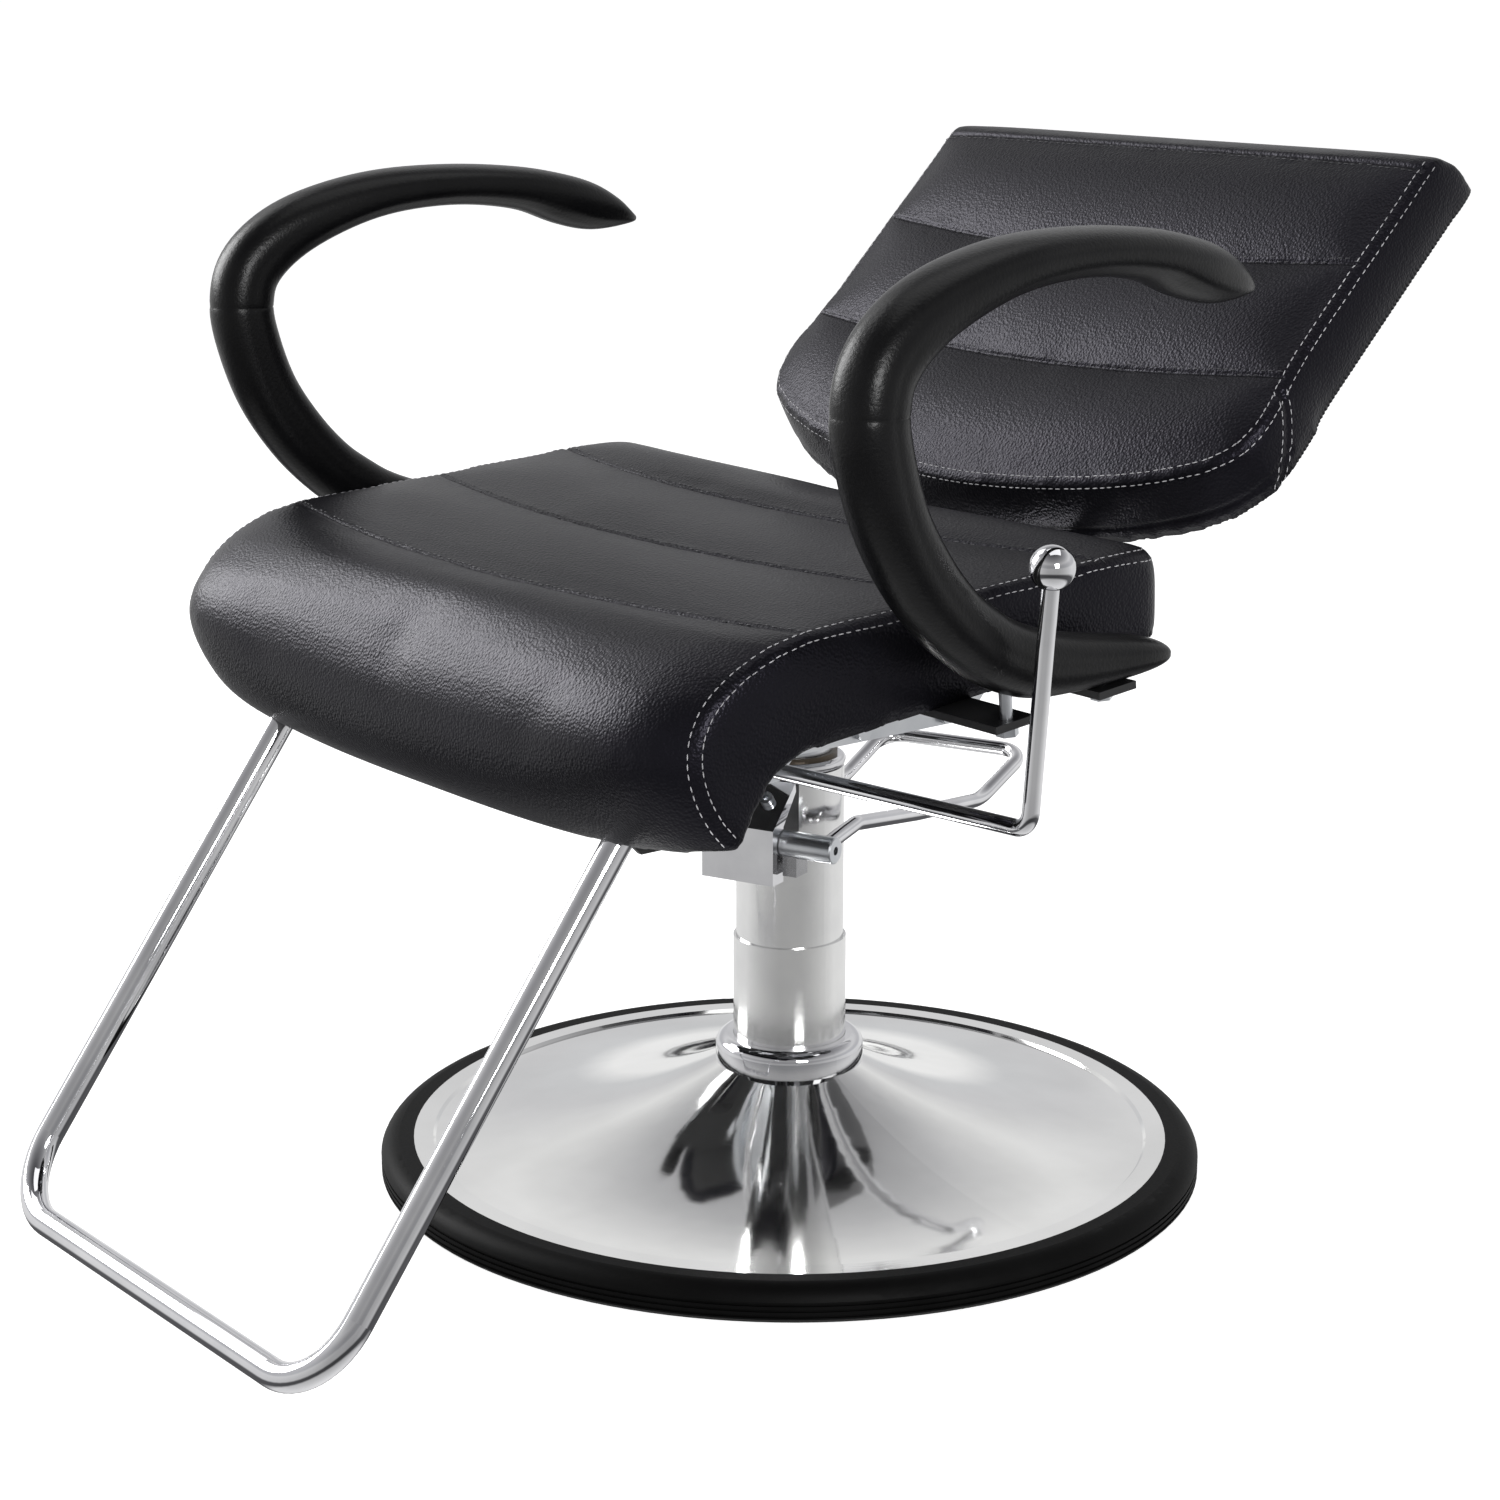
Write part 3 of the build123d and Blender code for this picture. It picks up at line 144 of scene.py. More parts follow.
# Spun and buffed stainless dish: turned rings a fraction of a millimetre apart, buffed nearly flat.
def makeSpunSteel(name):
    material, tree, bsdf, place = newMaterial(name, {"Metallic": 1.0})
    split = addNode(tree, "ShaderNodeSeparateXYZ", links={"Vector": place})
    flat = addNode(tree, "ShaderNodeCombineXYZ", links={"X": split.outputs["X"], "Y": split.outputs["Y"]})
    radius = addNode(tree, "ShaderNodeVectorMath", {"operation": "LENGTH"}, {0: flat.outputs["Vector"]})
    rings = addNode(tree, "ShaderNodeTexNoise",
                    {"noise_dimensions": "1D", "Scale": perMetre(1.6), "Detail": 3.0},
                    {"W": radius.outputs["Value"]})
    cloud = addNode(tree, "ShaderNodeTexNoise", {"Scale": perMetre(80.0), "Detail": 3.0}, {"Vector": place})
    mottledColour(tree, bsdf, cloud.outputs["Fac"], "#ececeb", "#f5f5f4")
    mottledRoughness(tree, bsdf, rings.outputs["Fac"], 0.03, 0.09)
    bump = addNode(tree, "ShaderNodeBump", {"Strength": 0.03, "Distance": 0.1 * mm},
                   {"Height": rings.outputs["Fac"]})
    tree.links.new(bump.outputs["Normal"], bsdf.inputs["Normal"])
    return material


# Moulded and pressed finishes share one layout: a tone that drifts, a fine surface texture, a gloss range.
def makeMoulded(name, tones, gloss, textureMm, depthMm, strength, shader=None, detail=4.0):
    material, tree, bsdf, place = newMaterial(name, shader or {})
    cloud = addNode(tree, "ShaderNodeTexNoise", {"Scale": perMetre(45.0), "Detail": 4.0}, {"Vector": place})
    skin = addNode(tree, "ShaderNodeTexNoise",
                   {"Scale": perMetre(textureMm), "Detail": detail, "Roughness": 0.55}, {"Vector": place})
    mottledColour(tree, bsdf, cloud.outputs["Fac"], *tones)
    mottledRoughness(tree, bsdf, skin.outputs["Fac"], *gloss)
    bump = addNode(tree, "ShaderNodeBump", {"Strength": strength, "Distance": depthMm * mm},
                   {"Height": skin.outputs["Fac"]})
    tree.links.new(bump.outputs["Normal"], bsdf.inputs["Normal"])
    return material


# Birch plywood: bands along the sheet, darker growth lines inside them.
def makePlywood(name):
    material, tree, bsdf, place = newMaterial(name, {"IOR": 1.45})
    stretch = addNode(tree, "ShaderNodeMapping", {"Scale": (1.0, 0.08, 1.0)}, {"Vector": place})
    grain = addNode(tree, "ShaderNodeTexNoise", {"Scale": perMetre(4.0), "Detail": 6.0, "Distortion": 0.4},
                    {"Vector": stretch.outputs["Vector"]})
    mottledColour(tree, bsdf, grain.outputs["Fac"], "#8a6a45", "#b8966a", 0.3, 0.7)
    mottledRoughness(tree, bsdf, grain.outputs["Fac"], 0.5, 0.7)
    bump = addNode(tree, "ShaderNodeBump", {"Strength": 0.3, "Distance": 0.1 * mm},
                   {"Height": grain.outputs["Fac"]})
    tree.links.new(bump.outputs["Normal"], bsdf.inputs["Normal"])
    return material


vinyl = makeVinyl("embossedVinyl", vinylLook)
chrome = makeChrome("chromePlatedSteel", ("#d6d6d9", "#e8e8ea"), 0.03, 0.06)
columnChrome = makeChrome("satinChromedSteel", ("#e6e6e6", "#f2f2f1"), 0.10, 0.20)
spunSteel = makeSpunSteel("buffedStainlessDish")
# Bright zinc: bluish, matt crystalline bloom over a soft metal shine.
zinc = makeMoulded("brightZincPlate", ("#c9ccd0", "#dfe1e4"), (0.24, 0.4), 1.5, 0.05, 0.2, {"Metallic": 1.0})
# Turned steel: clean grey, oily gloss.
steel = makeMoulded("turnedSteel", ("#8c8c8e", "#a6a6a8"), (0.2, 0.34), 1.2, 0.04, 0.2, {"Metallic": 1.0})
# Black oxide: a thin dark film that keeps the metal's shine.
blackOxide = makeMoulded("blackOxideSteel", ("#2b2b2d", "#3a3a3d"), (0.3, 0.45), 1.2, 0.04, 0.2,
                         {"Metallic": 1.0})
# Powder coat: satin black with orange peel about 1.5 mm across.
powderCoat = makeMoulded("blackPowderCoat", ("#101011", "#171718"), (0.34, 0.46), 1.5, 0.08, 0.35)
# Sand-cast iron under satin black enamel: a coarse 3 mm skin.
castIron = makeMoulded("enamelledCastIron", ("#161617", "#202022"), (0.38, 0.55), 3.0, 0.3, 0.4)
# Integral-skin polyurethane: dense black skin, fine pebble from the mould, worn smoother on top.
armFoam = makeMoulded("integralSkinUrethane", ("#060607", "#0b0b0c"), (0.24, 0.38), 2.2, 0.35, 0.6,
                      {"IOR": 1.5, "Specular IOR Level": 0.2}, detail=2.0)
# Black SBR rubber, moulded: dull, with a dusty greyer bloom.
rubber = makeMoulded("mouldedRubber", ("#040404", "#080808"), (0.45, 0.6), 1.6, 0.1, 0.3,
                     {"Specular IOR Level": 0.08})
# Moulded nylon: warm white and waxy.
nylon = makeMoulded("mouldedNylon", ("#d9d6cb", "#e4e2d8"), (0.4, 0.5), 2.0, 0.05, 0.15, {"IOR": 1.53})
# Sintered bronze, oil-soaked, so darker and greyer than the bare metal.
bronze = makeMoulded("sinteredBronze", ("#4f4840", "#665d52"), (0.35, 0.5), 0.9, 0.05, 0.3, {"Metallic": 1.0})
# Spunbond polypropylene dust cover under the seat: matt black felt with bonded dimples.
dustCover = makeMoulded("spunbondDustCover", ("#0e0e0f", "#17171a"), (0.75, 0.9), 2.4, 0.3, 0.6,
                        {"Sheen Weight": 0.2})
# Bonded polyester thread, grey-white, matt and twisted.
thread = makeMoulded("polyesterThread", ("#8f8e91", "#b2b1b4"), (0.55, 0.7), 0.8, 0.05, 0.4)
darkThread = makeMoulded("darkPolyesterThread", ("#2a2a2d", "#3c3c40"), (0.5, 0.65), 0.8, 0.05, 0.4)
plywood = makePlywood("birchPlywood")

finishOf = {
    rubber: ["base_ring"],
    spunSteel: ["base_dish"],
    columnChrome: ["outer_tube", "lift_tube"],
    chrome: ["column_collar", "pump_cover", "top_cap", "lift_ram", "pedal_loop", "footrest",
             "recline_lever", "lever_knob", "lock_rod"],
    zinc: ["base_bolts", "gland_nut", "cover_screws", "spindle_retainer", "pedal_shaft", "side_plate_left",
           "side_plate_right", "saddle", "saddle_bolts", "hinge_bolts", "seat_bolts", "arm_bolts",
           "footrest_bolts", "back_bolts", "lock_pivot_pin", "rod_clevis"],
    steel: ["ram_piston", "swivel_spindle", "pump_cam", "lever_cam", "release_pin", "lock_cylinder"],
    blackOxide: ["pedal_set_screws"],
    powderCoat: ["base_plate", "front_cross_bar", "arm_bracket_left", "arm_bracket_right",
                 "footrest_bracket_left", "footrest_bracket_right", "back_bar_left", "back_bar_right",
                 "back_cross_tube", "lock_bracket", "lever_bracket"],
    castIron: ["hydraulic_cylinder", "pump_housing"],
    bronze: ["swivel_bush", "thrust_washer"],
    nylon: ["lever_bush"],
    plywood: ["seat_board", "back_board"],
    armFoam: ["arm_left", "arm_right"],
    vinyl: ["seat_cushion", "back_cushion"],
}
for finish, names in finishOf.items():
    for name in names:
        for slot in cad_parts[name].material_slots:
            slot.material = finish
print("finishes: %d materials" % len(bpy.data.materials))


def keepMesh(name, body, mesh, materials):
    # a finished piece: its object at the origin, its place in its mesh
    piece = bpy.data.objects.new(name, mesh)
    scene.collection.objects.link(piece)
    for material in materials:
        mesh.materials.append(material)
    for face in mesh.polygons:
        face.use_smooth = True
    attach(piece, body)
    return piece


def curveThrough(points, step):
    # an even row of points about one step apart on a smooth curve through the given ones
    curve = bpy.data.curves.new("guide", "CURVE")
    curve.dimensions = "3D"
    spline = curve.splines.new("BEZIER")
    spline.bezier_points.add(len(points) - 1)
    for knot, point in zip(spline.bezier_points, points):
        knot.co = point
        knot.handle_left_type = knot.handle_right_type = "AUTO"
    spline.resolution_u = 24
    guide = bpy.data.objects.new("guide", curve)
    mesh = bpy.data.meshes.new_from_object(guide)
    dense = [v.co.copy() for v in mesh.vertices]
    bpy.data.objects.remove(guide)
    bpy.data.curves.remove(curve)
    bpy.data.meshes.remove(mesh)
    even, travelled, due = [dense[0]], 0.0, step
    for a, b in zip(dense, dense[1:]):
        run = (b - a).length
        while run > 0 and travelled + run >= due:
            even.append(a.lerp(b, (due - travelled) / run))
            due += step
        travelled += run
    return even


def applied(piece):
    # the piece's mesh with its modifiers applied
    graph = bpy.context.evaluated_depsgraph_get()
    return bpy.data.meshes.new_from_object(piece.evaluated_get(graph), depsgraph=graph)


def remeshed(mesh, voxel):
    work = bpy.data.objects.new("work", mesh)
    scene.collection.objects.link(work)
    modifier = work.modifiers.new("voxels", "REMESH")
    modifier.mode = "VOXEL"
    modifier.voxel_size = voxel
    made = applied(work)
    bpy.data.objects.remove(work)
    return made


def nearTree(points):
    tree = KDTree(len(points))
    for index, point in enumerate(points):
        tree.insert(point, index)
    tree.balance()
    return tree


def pointsOf(lines):
    return [point for line in lines for point in line]


def swollen(mesh, held, settings):
    # cloth with air pressure: held(point) says which vertices stay; the furthest rise becomes the crown
    frames = 20
    work = bpy.data.objects.new("work", mesh)
    scene.collection.objects.link(work)
    start = [v.co.copy() for v in mesh.vertices]
    pins = work.vertex_groups.new(name="held")
    still = [i for i, point in enumerate(start) if held(point)]
    pins.add(still, 1.0, "REPLACE")
    cloth = work.modifiers.new("cloth", "CLOTH")
    cloth.settings.quality = 4
    cloth.settings.mass = 0.3  # kg, each vertex
    cloth.settings.tension_stiffness = settings["stiffness"]
    cloth.settings.compression_stiffness = settings["stiffness"]
    cloth.settings.bending_stiffness = 1.0
    cloth.settings.use_pressure = True
    cloth.settings.uniform_pressure_force = settings["pressure"]
    cloth.settings.effector_weights.gravity = 0
    cloth.settings.vertex_group_mass = "held"
    cloth.collision_settings.use_collision = False
    cloth.point_cache.frame_start, cloth.point_cache.frame_end = 1, frames
    for step in range(1, frames + 1):
        scene.frame_set(step)
    made = applied(work)
    bpy.data.objects.remove(work)
    moves = made.copy()  # its vertices stand for the moves, so smoothing them takes the buckles out
    for vertex, place in zip(moves.vertices, start):
        vertex.co -= place
    moves = smoothed(moves, settings["ironing"], 0.5, frozenset(still))
    furthest = max(v.co.length for v in moves.vertices)
    gain = settings["crown"] * mm / furthest
    for vertex, place, shift in zip(made.vertices, start, moves.vertices):
        vertex.co = place + shift.co * gain
    print("cloth: rose %.1f mm, set to %.1f mm" % (furthest / mm, settings["crown"]))
    bpy.data.meshes.remove(moves)
    scene.frame_set(1)
    return made


def relaxed(work, verts, rounds, factor):
    for _ in range(rounds):
        bmesh.ops.smooth_vert(work, verts=verts, factor=factor, use_axis_x=True, use_axis_y=True,
                              use_axis_z=True)


def smoothed(mesh, rounds, factor, fixed=frozenset()):
    work = bmesh.new()
    work.from_mesh(mesh)
    relaxed(work, [v for v in work.verts if v.index not in fixed], rounds, factor)
    work.to_mesh(mesh)
    work.free()
    return mesh


def refined(mesh, seams, reach):
    # one subdivision all over, and a second one beside the seams
    work = bpy.data.objects.new("work", mesh)
    scene.collection.objects.link(work)
    fine = work.modifiers.new("fine", "SUBSURF")
    fine.levels = fine.render_levels = 1
    made = applied(work)
    bpy.data.objects.remove(work)
    tree = nearTree(seams)
    work = bmesh.new()
    work.from_mesh(made)
    near = [e for e in work.edges if tree.find((e.verts[0].co + e.verts[1].co) / 2)[2] < reach]
    bmesh.ops.subdivide_edges(work, edges=near, cuts=1, use_grid_fill=True)
    relaxed(work, [v for v in work.verts if tree.find(v.co)[2] < reach], 2, 0.4)
    work.to_mesh(made)
    work.free()
    return made


def carved(mesh, grooves, pucker):
    # each groove is (points, depth, width); the skin gathers a little on both sides of it
    foldMm = 16.0  # size of one gather along the seam
    mesh.update()
    normals = [v.normal.copy() for v in mesh.vertices]
    trees = [(nearTree(points), depth, width) for points, depth, width in grooves]
    for vertex, normal in zip(mesh.vertices, normals):
        sink = 0.0
        for tree, depth, width in trees:
            away = tree.find(vertex.co)[2]
            if away < width * 8:
                gather = noise.noise(vertex.co * perMetre(foldMm)) * pucker
                gather *= exp(-(away / (width * 3.5)) ** 2)
                sink = max(sink, depth * exp(-(away / width) ** 2)) + gather
        vertex.co -= normal * sink
    mesh.update()
    return mesh


# What both cushions share: rounding of the voxel skin, and how far from a seam things happen.
skinWork = {
    "voxel": 5.0,                        # mm
    "rounding": 4, "settling": 2,        # smoothing rounds before and after the swelling
    "seamHold": 3.6,                     # mm, skin this near to a seam stays where it is sewn
    "seamFine": 9.0,                     # mm, the band beside a seam that gets finer faces
    "seamStep": 1.5,                     # mm between the points of a seam line
    "pucker": 0.35,                      # mm
    "quickReach": 50.0,
}


def upholstered(block, settings, held, channels, borders, trims=()):
    # a voxel skin swollen between its held seams, then made finer beside every seam and carved along it
    trims = list(trims)  # seams that are carved but let the skin rise
    skin = smoothed(remeshed(block, skinWork["voxel"] * mm), skinWork["rounding"], 0.5)
    skin = swollen(skin, held, settings)
    skin = smoothed(skin, skinWork["settling"], 0.5)
    skin = refined(skin, pointsOf(borders + channels + trims), skinWork["seamFine"] * mm)
    grooves = [(line, settings["seamSink"] * mm, settings["seamWidth"] * mm) for line in channels]
    grooves += [(line, settings["borderSink"] * mm, settings["borderWidth"] * mm) for line in borders + trims]
    return carved(skin, grooves, skinWork["pucker"] * mm)


def stitchRow(work, surface, points, aside, stitch, gap, thick):
    # short thread capsules along a row beside the seam, each pressed half into the surface
    place, travelled = stitch, 0.0
    for a, b in zip(points, points[1:]):
        travelled += (b - a).length
        if travelled < place:
            continue
        place += stitch + gap
        spot, normal, _, _ = surface.find_nearest(b)
        if spot is None:
            continue
        along = (b - a).normalized()
        across = normal.cross(along).normalized()
        spot, normal, _, _ = surface.find_nearest(spot + across * aside)
        if spot is None:
            continue
        across = normal.cross(along).normalized()
        along = across.cross(normal).normalized()
        turn = Matrix((across, along, normal)).transposed().to_4x4()
        size = Matrix.Diagonal((thick, stitch / 2, thick * 0.8, 1.0))
        placed = Matrix.Translation(spot + normal * thick * 0.3) @ turn @ size
        bmesh.ops.create_uvsphere(work, u_segments=6, v_segments=4, radius=1.0,
                                  matrix=placed @ Matrix.Rotation(pi / 2, 4, "X"))


seat = {
    "halfWidth": 0.297,
    "tilt": 5.7,              # degrees, underside of the board
    "rise": 0.427,            # m, underside of the board at the column
    "pressure": 6.0, "stiffness": 12.0,
    "ironing": 20,            # smoothing rounds on the cloth's moves
    "crown": 9.0, "quickRise": 9.0,     # mm, furthest rise between the seams
    "nose": -229.0, "lip": 400.0,       # mm, the nose bows in front of the one, its lip hangs below the other
    "noseBow": 0.28,          # share by which the nose draws in at its ends
    "rearFlare": 12.0,        # mm, the rear corners stand back from the middle
    "rearRound": 26.0,        # mm, corner radius in plan
    "seamSink": 1.8, "seamWidth": 1.9,
    "borderSink": 1.6, "borderWidth": 2.2,
    "rowAside": 4.5, "channelAside": 3.4,   # mm, stitch rows from a border and from a channel seam
    # m, where the skin is held: near the board behind its front edge, and inside the lip
    "heldAbove": 0.004, "boardFront": -0.215, "lipFront": -0.300, "lipTop": 0.402,
    # m, the skin this near to the board is laid flat on it
    "flatAbove": 0.0035, "flatFront": -0.222, "flatUnder": 0.0003,
    # m, the dust cover: in from the sides, from front to rear
    "coverIn": 0.03, "coverFront": -0.19, "coverRear": 0.045,
}
# side outline (y, z) in mm at the middle of the seat, a little inside the finished skin
seatTop = [(66, 489), (51, 494), (10, 491), (-46, 487), (-110, 483), (-159, 480), (-229, 476), (-264, 470),
           (-298, 459), (-324, 444), (-339, 428), (-345, 411), (-341, 392), (-333, 372), (-321, 350),
           (-309, 335)]
seatLip = [(-301, 330), (-294, 331), (-287, 343), (-275, 367), (-257, 389), (-232, 401)]
seatBase = [-205, 66]  # y of the flat underside
seamLine = [(51, 494), (10, 491.5), (-46, 487.5), (-110, 484), (-159, 481), (-229, 478), (-256, 471),
            (-287, 457), (-302, 444), (-311, 429), (-314, 412), (-310, 391), (-299, 370), (-287, 356)]
# half of the rear seam, middle first, as x from the middle, y, z in m
rearLine = [(0, 0.067, 0.489), (0.15, 0.071, 0.4895),
            (seat["halfWidth"] - seat["rearRound"] * mm, 0.077, 0.4915),
            (seat["halfWidth"] - 0.008, 0.069, 0.4925), (seat["halfWidth"], 0.051, 0.4935)]


def underSeat(y):
    return seat["rise"] / mm + y * sin(radians(seat["tilt"])) / cos(radians(seat["tilt"]))


def seatShape(co):
    # moves a point of the straight extrusion to its place: the nose bows forward and the lip rises outwards
    t = min(abs(co.x) / seat["halfWidth"], 1.0)
    y, z = co.y / mm, co.z / mm
    if y < seat["nose"]:
        y = seat["nose"] + (y - seat["nose"]) * (1 - seat["noseBow"] * t ** 12)
        if z < seat["lip"]:
            z = seat["lip"] - (seat["lip"] - z) * (1 - seat["noseBow"] * t ** 2.7)
    if y > 40:
        y += seat["rearFlare"] * t ** 3
    return Vector((co.x, y * mm, z * mm))


def extruded(work, outline, by):
    # a closed block between the outline and its copy
    face = work.faces.new([work.verts.new(point) for point in outline])
    made = bmesh.ops.extrude_face_region(work, geom=[face])
    ends = [g for g in made["geom"] if isinstance(g, bmesh.types.BMVert)]
    bmesh.ops.translate(work, verts=ends, vec=by)


def finishedMesh(work, name):
    bmesh.ops.recalc_face_normals(work, faces=work.faces)
    mesh = bpy.data.meshes.new(name)
    work.to_mesh(mesh)
    work.free()
    return mesh


def buildSeatBlock():
    outline = seatTop + seatLip + [(y, underSeat(y)) for y in seatBase]
    work = bmesh.new()
    half = seat["halfWidth"]
    extruded(work, [(-half, y * mm, z * mm) for y, z in outline], (2 * half, 0, 0))
    long = [e for e in work.edges if abs(e.verts[0].co.x - e.verts[1].co.x) > half]  # the lengths across
    bmesh.ops.subdivide_edges(work, edges=long, cuts=29, use_grid_fill=True)
    for vertex in work.verts:
        vertex.co = seatShape(vertex.co)
    rear = [e for e in work.edges if all(abs(abs(v.co.x) - half) < 1e-5 and v.co.y > 0.06 for v in e.verts)]
    bmesh.ops.bevel(work, geom=rear, offset=seat["rearRound"] * mm, affect="EDGES", segments=5, profile=0.5,
                    material=-1)
    bmesh.ops.triangulate(work, faces=[f for f in work.faces if len(f.verts) > 4])
    return finishedMesh(work, "seatBlock")


def seamThrough(points):
    return curveThrough([Vector(point) for point in points], skinWork["seamStep"] * mm)


def topAt(y):
    # height of the sewn skin at a distance along the seat
    for (y1, z1), (y0, z0) in zip(seamLine, seamLine[1:]):
        if y0 <= y <= y1:
            return z0 + (z1 - z0) * (y - y0) / (y1 - y0)
    return seamLine[0][1]


def acrossSeat(middle, ends):
    # a channel seam across the seat, bowing forward in the middle
    points = []
    for index in range(-12, 13):
        t = index / 12
        y = middle + (ends - middle) * t ** 2
        points.append((t * seat["halfWidth"], y * mm, topAt(y) * mm))
    return seamThrough(points)


seatBorders = [seamThrough([(hand * seat["halfWidth"], y * mm, z * mm) for y, z in seamLine])
               for hand in (-1, 1)]
seatBorders.append(seamThrough([(-x, y, z) for x, y, z in reversed(rearLine[1:])] + rearLine))
seatChannels = [acrossSeat(middle, ends) for middle, ends in ((-258, -229), (-141, -104), (-24, 14))]
seatHoldTree = nearTree(pointsOf(seatBorders + seatChannels))


def seatHeld(point):
    low = point.z < underSeat(point.y / mm) * mm + seat["heldAbove"] and point.y > seat["boardFront"]
    behindLip = point.y > seat["lipFront"] and point.z < seat["lipTop"]
    return low or behindLip or seatHoldTree.find(point)[2] < skinWork["seamHold"] * mm


seatSkin = upholstered(buildSeatBlock(), seat, seatHeld, seatChannels, seatBorders)
for vertex in seatSkin.vertices:  # the skin wraps the board: its underside lies flat on the wood
    flat = underSeat(vertex.co.y / mm) * mm
    if vertex.co.y > seat["flatFront"] and vertex.co.z < flat + seat["flatAbove"]:
        vertex.co.z = flat - seat["flatUnder"]
seatCushion = keepMesh("seat_upholstery", "seat", seatSkin, [vinyl, dustCover])
for face in seatSkin.polygons:
    x, y, z = face.center
    inside = abs(x) < seat["halfWidth"] - seat["coverIn"] and seat["coverFront"] < y < seat["coverRear"]
    if inside and z < underSeat(y / mm) * mm + 0.001:
        face.material_index = 1  # the dust cover
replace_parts(seatCushion, "seat_cushion")
print("seat cushion: %d faces" % len(seatSkin.polygons))

back = {
    "origin": (0.0, 0.136, 0.495),
    "recline": 45.2,          # degrees from upright
    "halfWidth": 250.0, "depth": 52.0,      # mm
    "pressure": 9.0, "stiffness": 8.0,
    "ironing": 5,             # smoothing rounds on the cloth's moves
    "crown": 9.0, "quickRise": 12.0,        # mm, furthest rise between the seams
    "curlFrom": 250.0, "curlOver": 81.0,    # mm up the back, where the top starts to curl and over how far
    "curlUp": 18.0, "curlIn": 7.0,          # mm, the curl raises the rim and thins it
    "flare": 0.006,           # share by which the rear is wider than the front
    "sag": 20.0, "sagFrom": 120.0,          # mm, the bottom boxing hangs below the front seam at its rear
    "ears": 3.0,              # mm, the front falls back towards the sides
    "topSeam": 321,           # mm up the back
    "hemDepth": -38,          # mm, the lower seam of the boxing
    "seamSink": 2.0, "seamWidth": 1.8,
    "borderSink": 1.6, "borderWidth": 2.2,
    "rowAside": 4.5, "channelAside": 3.4,   # mm, stitch rows from a border and from a channel seam
    # m from the front: the skin is held from here, smoothed again from here, and laid flat over the board
    "heldFrom": -0.046, "rearFrom": -0.040, "flatFrom": -0.0475, "flatAt": -0.0523,
    "rearRounds": 8,
}
lean = radians(back["recline"])
backFrame = Matrix((
    (1, 0, 0, back["origin"][0]),
    (0, sin(lean), -cos(lean), back["origin"][1]),
    (0, cos(lean), sin(lean), back["origin"][2]),
    (0, 0, 0, 1)))
# right half of the back's outline in its own plane: across, up, in mm
backRim = [(250, 331), (250, 240), (250, 150), (254, 120), (257, 98), (253, 72), (237, 52), (207, 36),
           (164, 22), (106, 10.5), (50, 4), (0, 2)]


def backPoint(across, up, out):
    return backFrame @ Vector((across * mm, up * mm, out * mm))


def backShape(across, up, out):
    # the top curls backwards and the ends of its rim stand out as ears
    t = min(abs(across) / back["halfWidth"], 1.0)
    deep = -out / back["depth"]
    if up > back["curlFrom"]:
        curl = (up - back["curlFrom"]) / back["curlOver"]
        up += back["curlUp"] * (1 - (1 - deep) ** 3.5) * curl ** 2
        out -= back["curlIn"] * deep * curl ** 3
    across *= 1 + back["flare"] * deep
    if up < back["sagFrom"]:
        up -= back["sag"] * deep * (1 - up / back["sagFrom"])
    return across, up, out - back["ears"] * (1 - deep) * t ** 6


def mirrored(line, out):
    # the whole line from its right half, which ends in the middle
    return [(x, s, out) for x, s in line] + [(-x, s, out) for x, s in reversed(line[:-1])]


def buildBackBlock():
    work = bmesh.new()
    extruded(work, mirrored(backRim, 0), (0, 0, -back["depth"]))
    long = [e for e in work.edges if abs(e.verts[0].co.z - e.verts[1].co.z) > 10]
    bmesh.ops.subdivide_edges(work, edges=long, cuts=5, use_grid_fill=True)
    for _ in range(5):  # enough points in the flat faces for the curl
        coarse = [e for e in work.edges if e.calc_length() > 18]
        bmesh.ops.subdivide_edges(work, edges=coarse, cuts=1, use_grid_fill=True)
        bmesh.ops.triangulate(work, faces=work.faces)
    for vertex in work.verts:
        vertex.co = backPoint(*backShape(*vertex.co))
    return finishedMesh(work, "backBlock")


def backLine(points):
    return seamThrough([backPoint(*backShape(*p)) for p in points])


backBorders = [backLine(mirrored(backRim, 0)),
               backLine([(x, back["topSeam"], 0) for x in range(250, -251, -50)])]
backChannels = [backLine([(x, middle + (side - middle) * (x / 247) ** 2, 0) for x in range(-247, 248, 38)])
                for middle, side in ((112, 131), (216, 233))]
# the boxing's corner seams and its hem, carved into the skin but not holding it
backCorners = [backLine([(hand * 251, 122, 0), (hand * 254, 108, -18), (hand * 254, 92, -38),
                         (hand * 252, 80, -52)]) for hand in (-1, 1)]
backHem = backLine(mirrored(backRim[4:], back["hemDepth"]))
backHoldTree = nearTree(pointsOf(backBorders + backChannels))
intoBack = backFrame.inverted()


def backHeld(point):
    return ((intoBack @ point).z < back["heldFrom"]
            or backHoldTree.find(point)[2] < skinWork["seamHold"] * mm)


backSkin = upholstered(buildBackBlock(), back, backHeld, backChannels, backBorders, backCorners + [backHem])
front = frozenset(v.index for v in backSkin.vertices if (intoBack @ v.co).z > back["rearFrom"])
backSkin = smoothed(backSkin, back["rearRounds"], 0.5, front)
for vertex in backSkin.vertices:  # the rear lies flat over the board
    place = intoBack @ vertex.co
    if place.z < back["flatFrom"]:
        place.z = back["flatAt"]
        vertex.co = backFrame @ place
backCushion = keepMesh("back_upholstery", "back", backSkin, [vinyl])
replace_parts(backCushion, "back_cushion")
print("back cushion: %d faces" % len(backSkin.polygons))

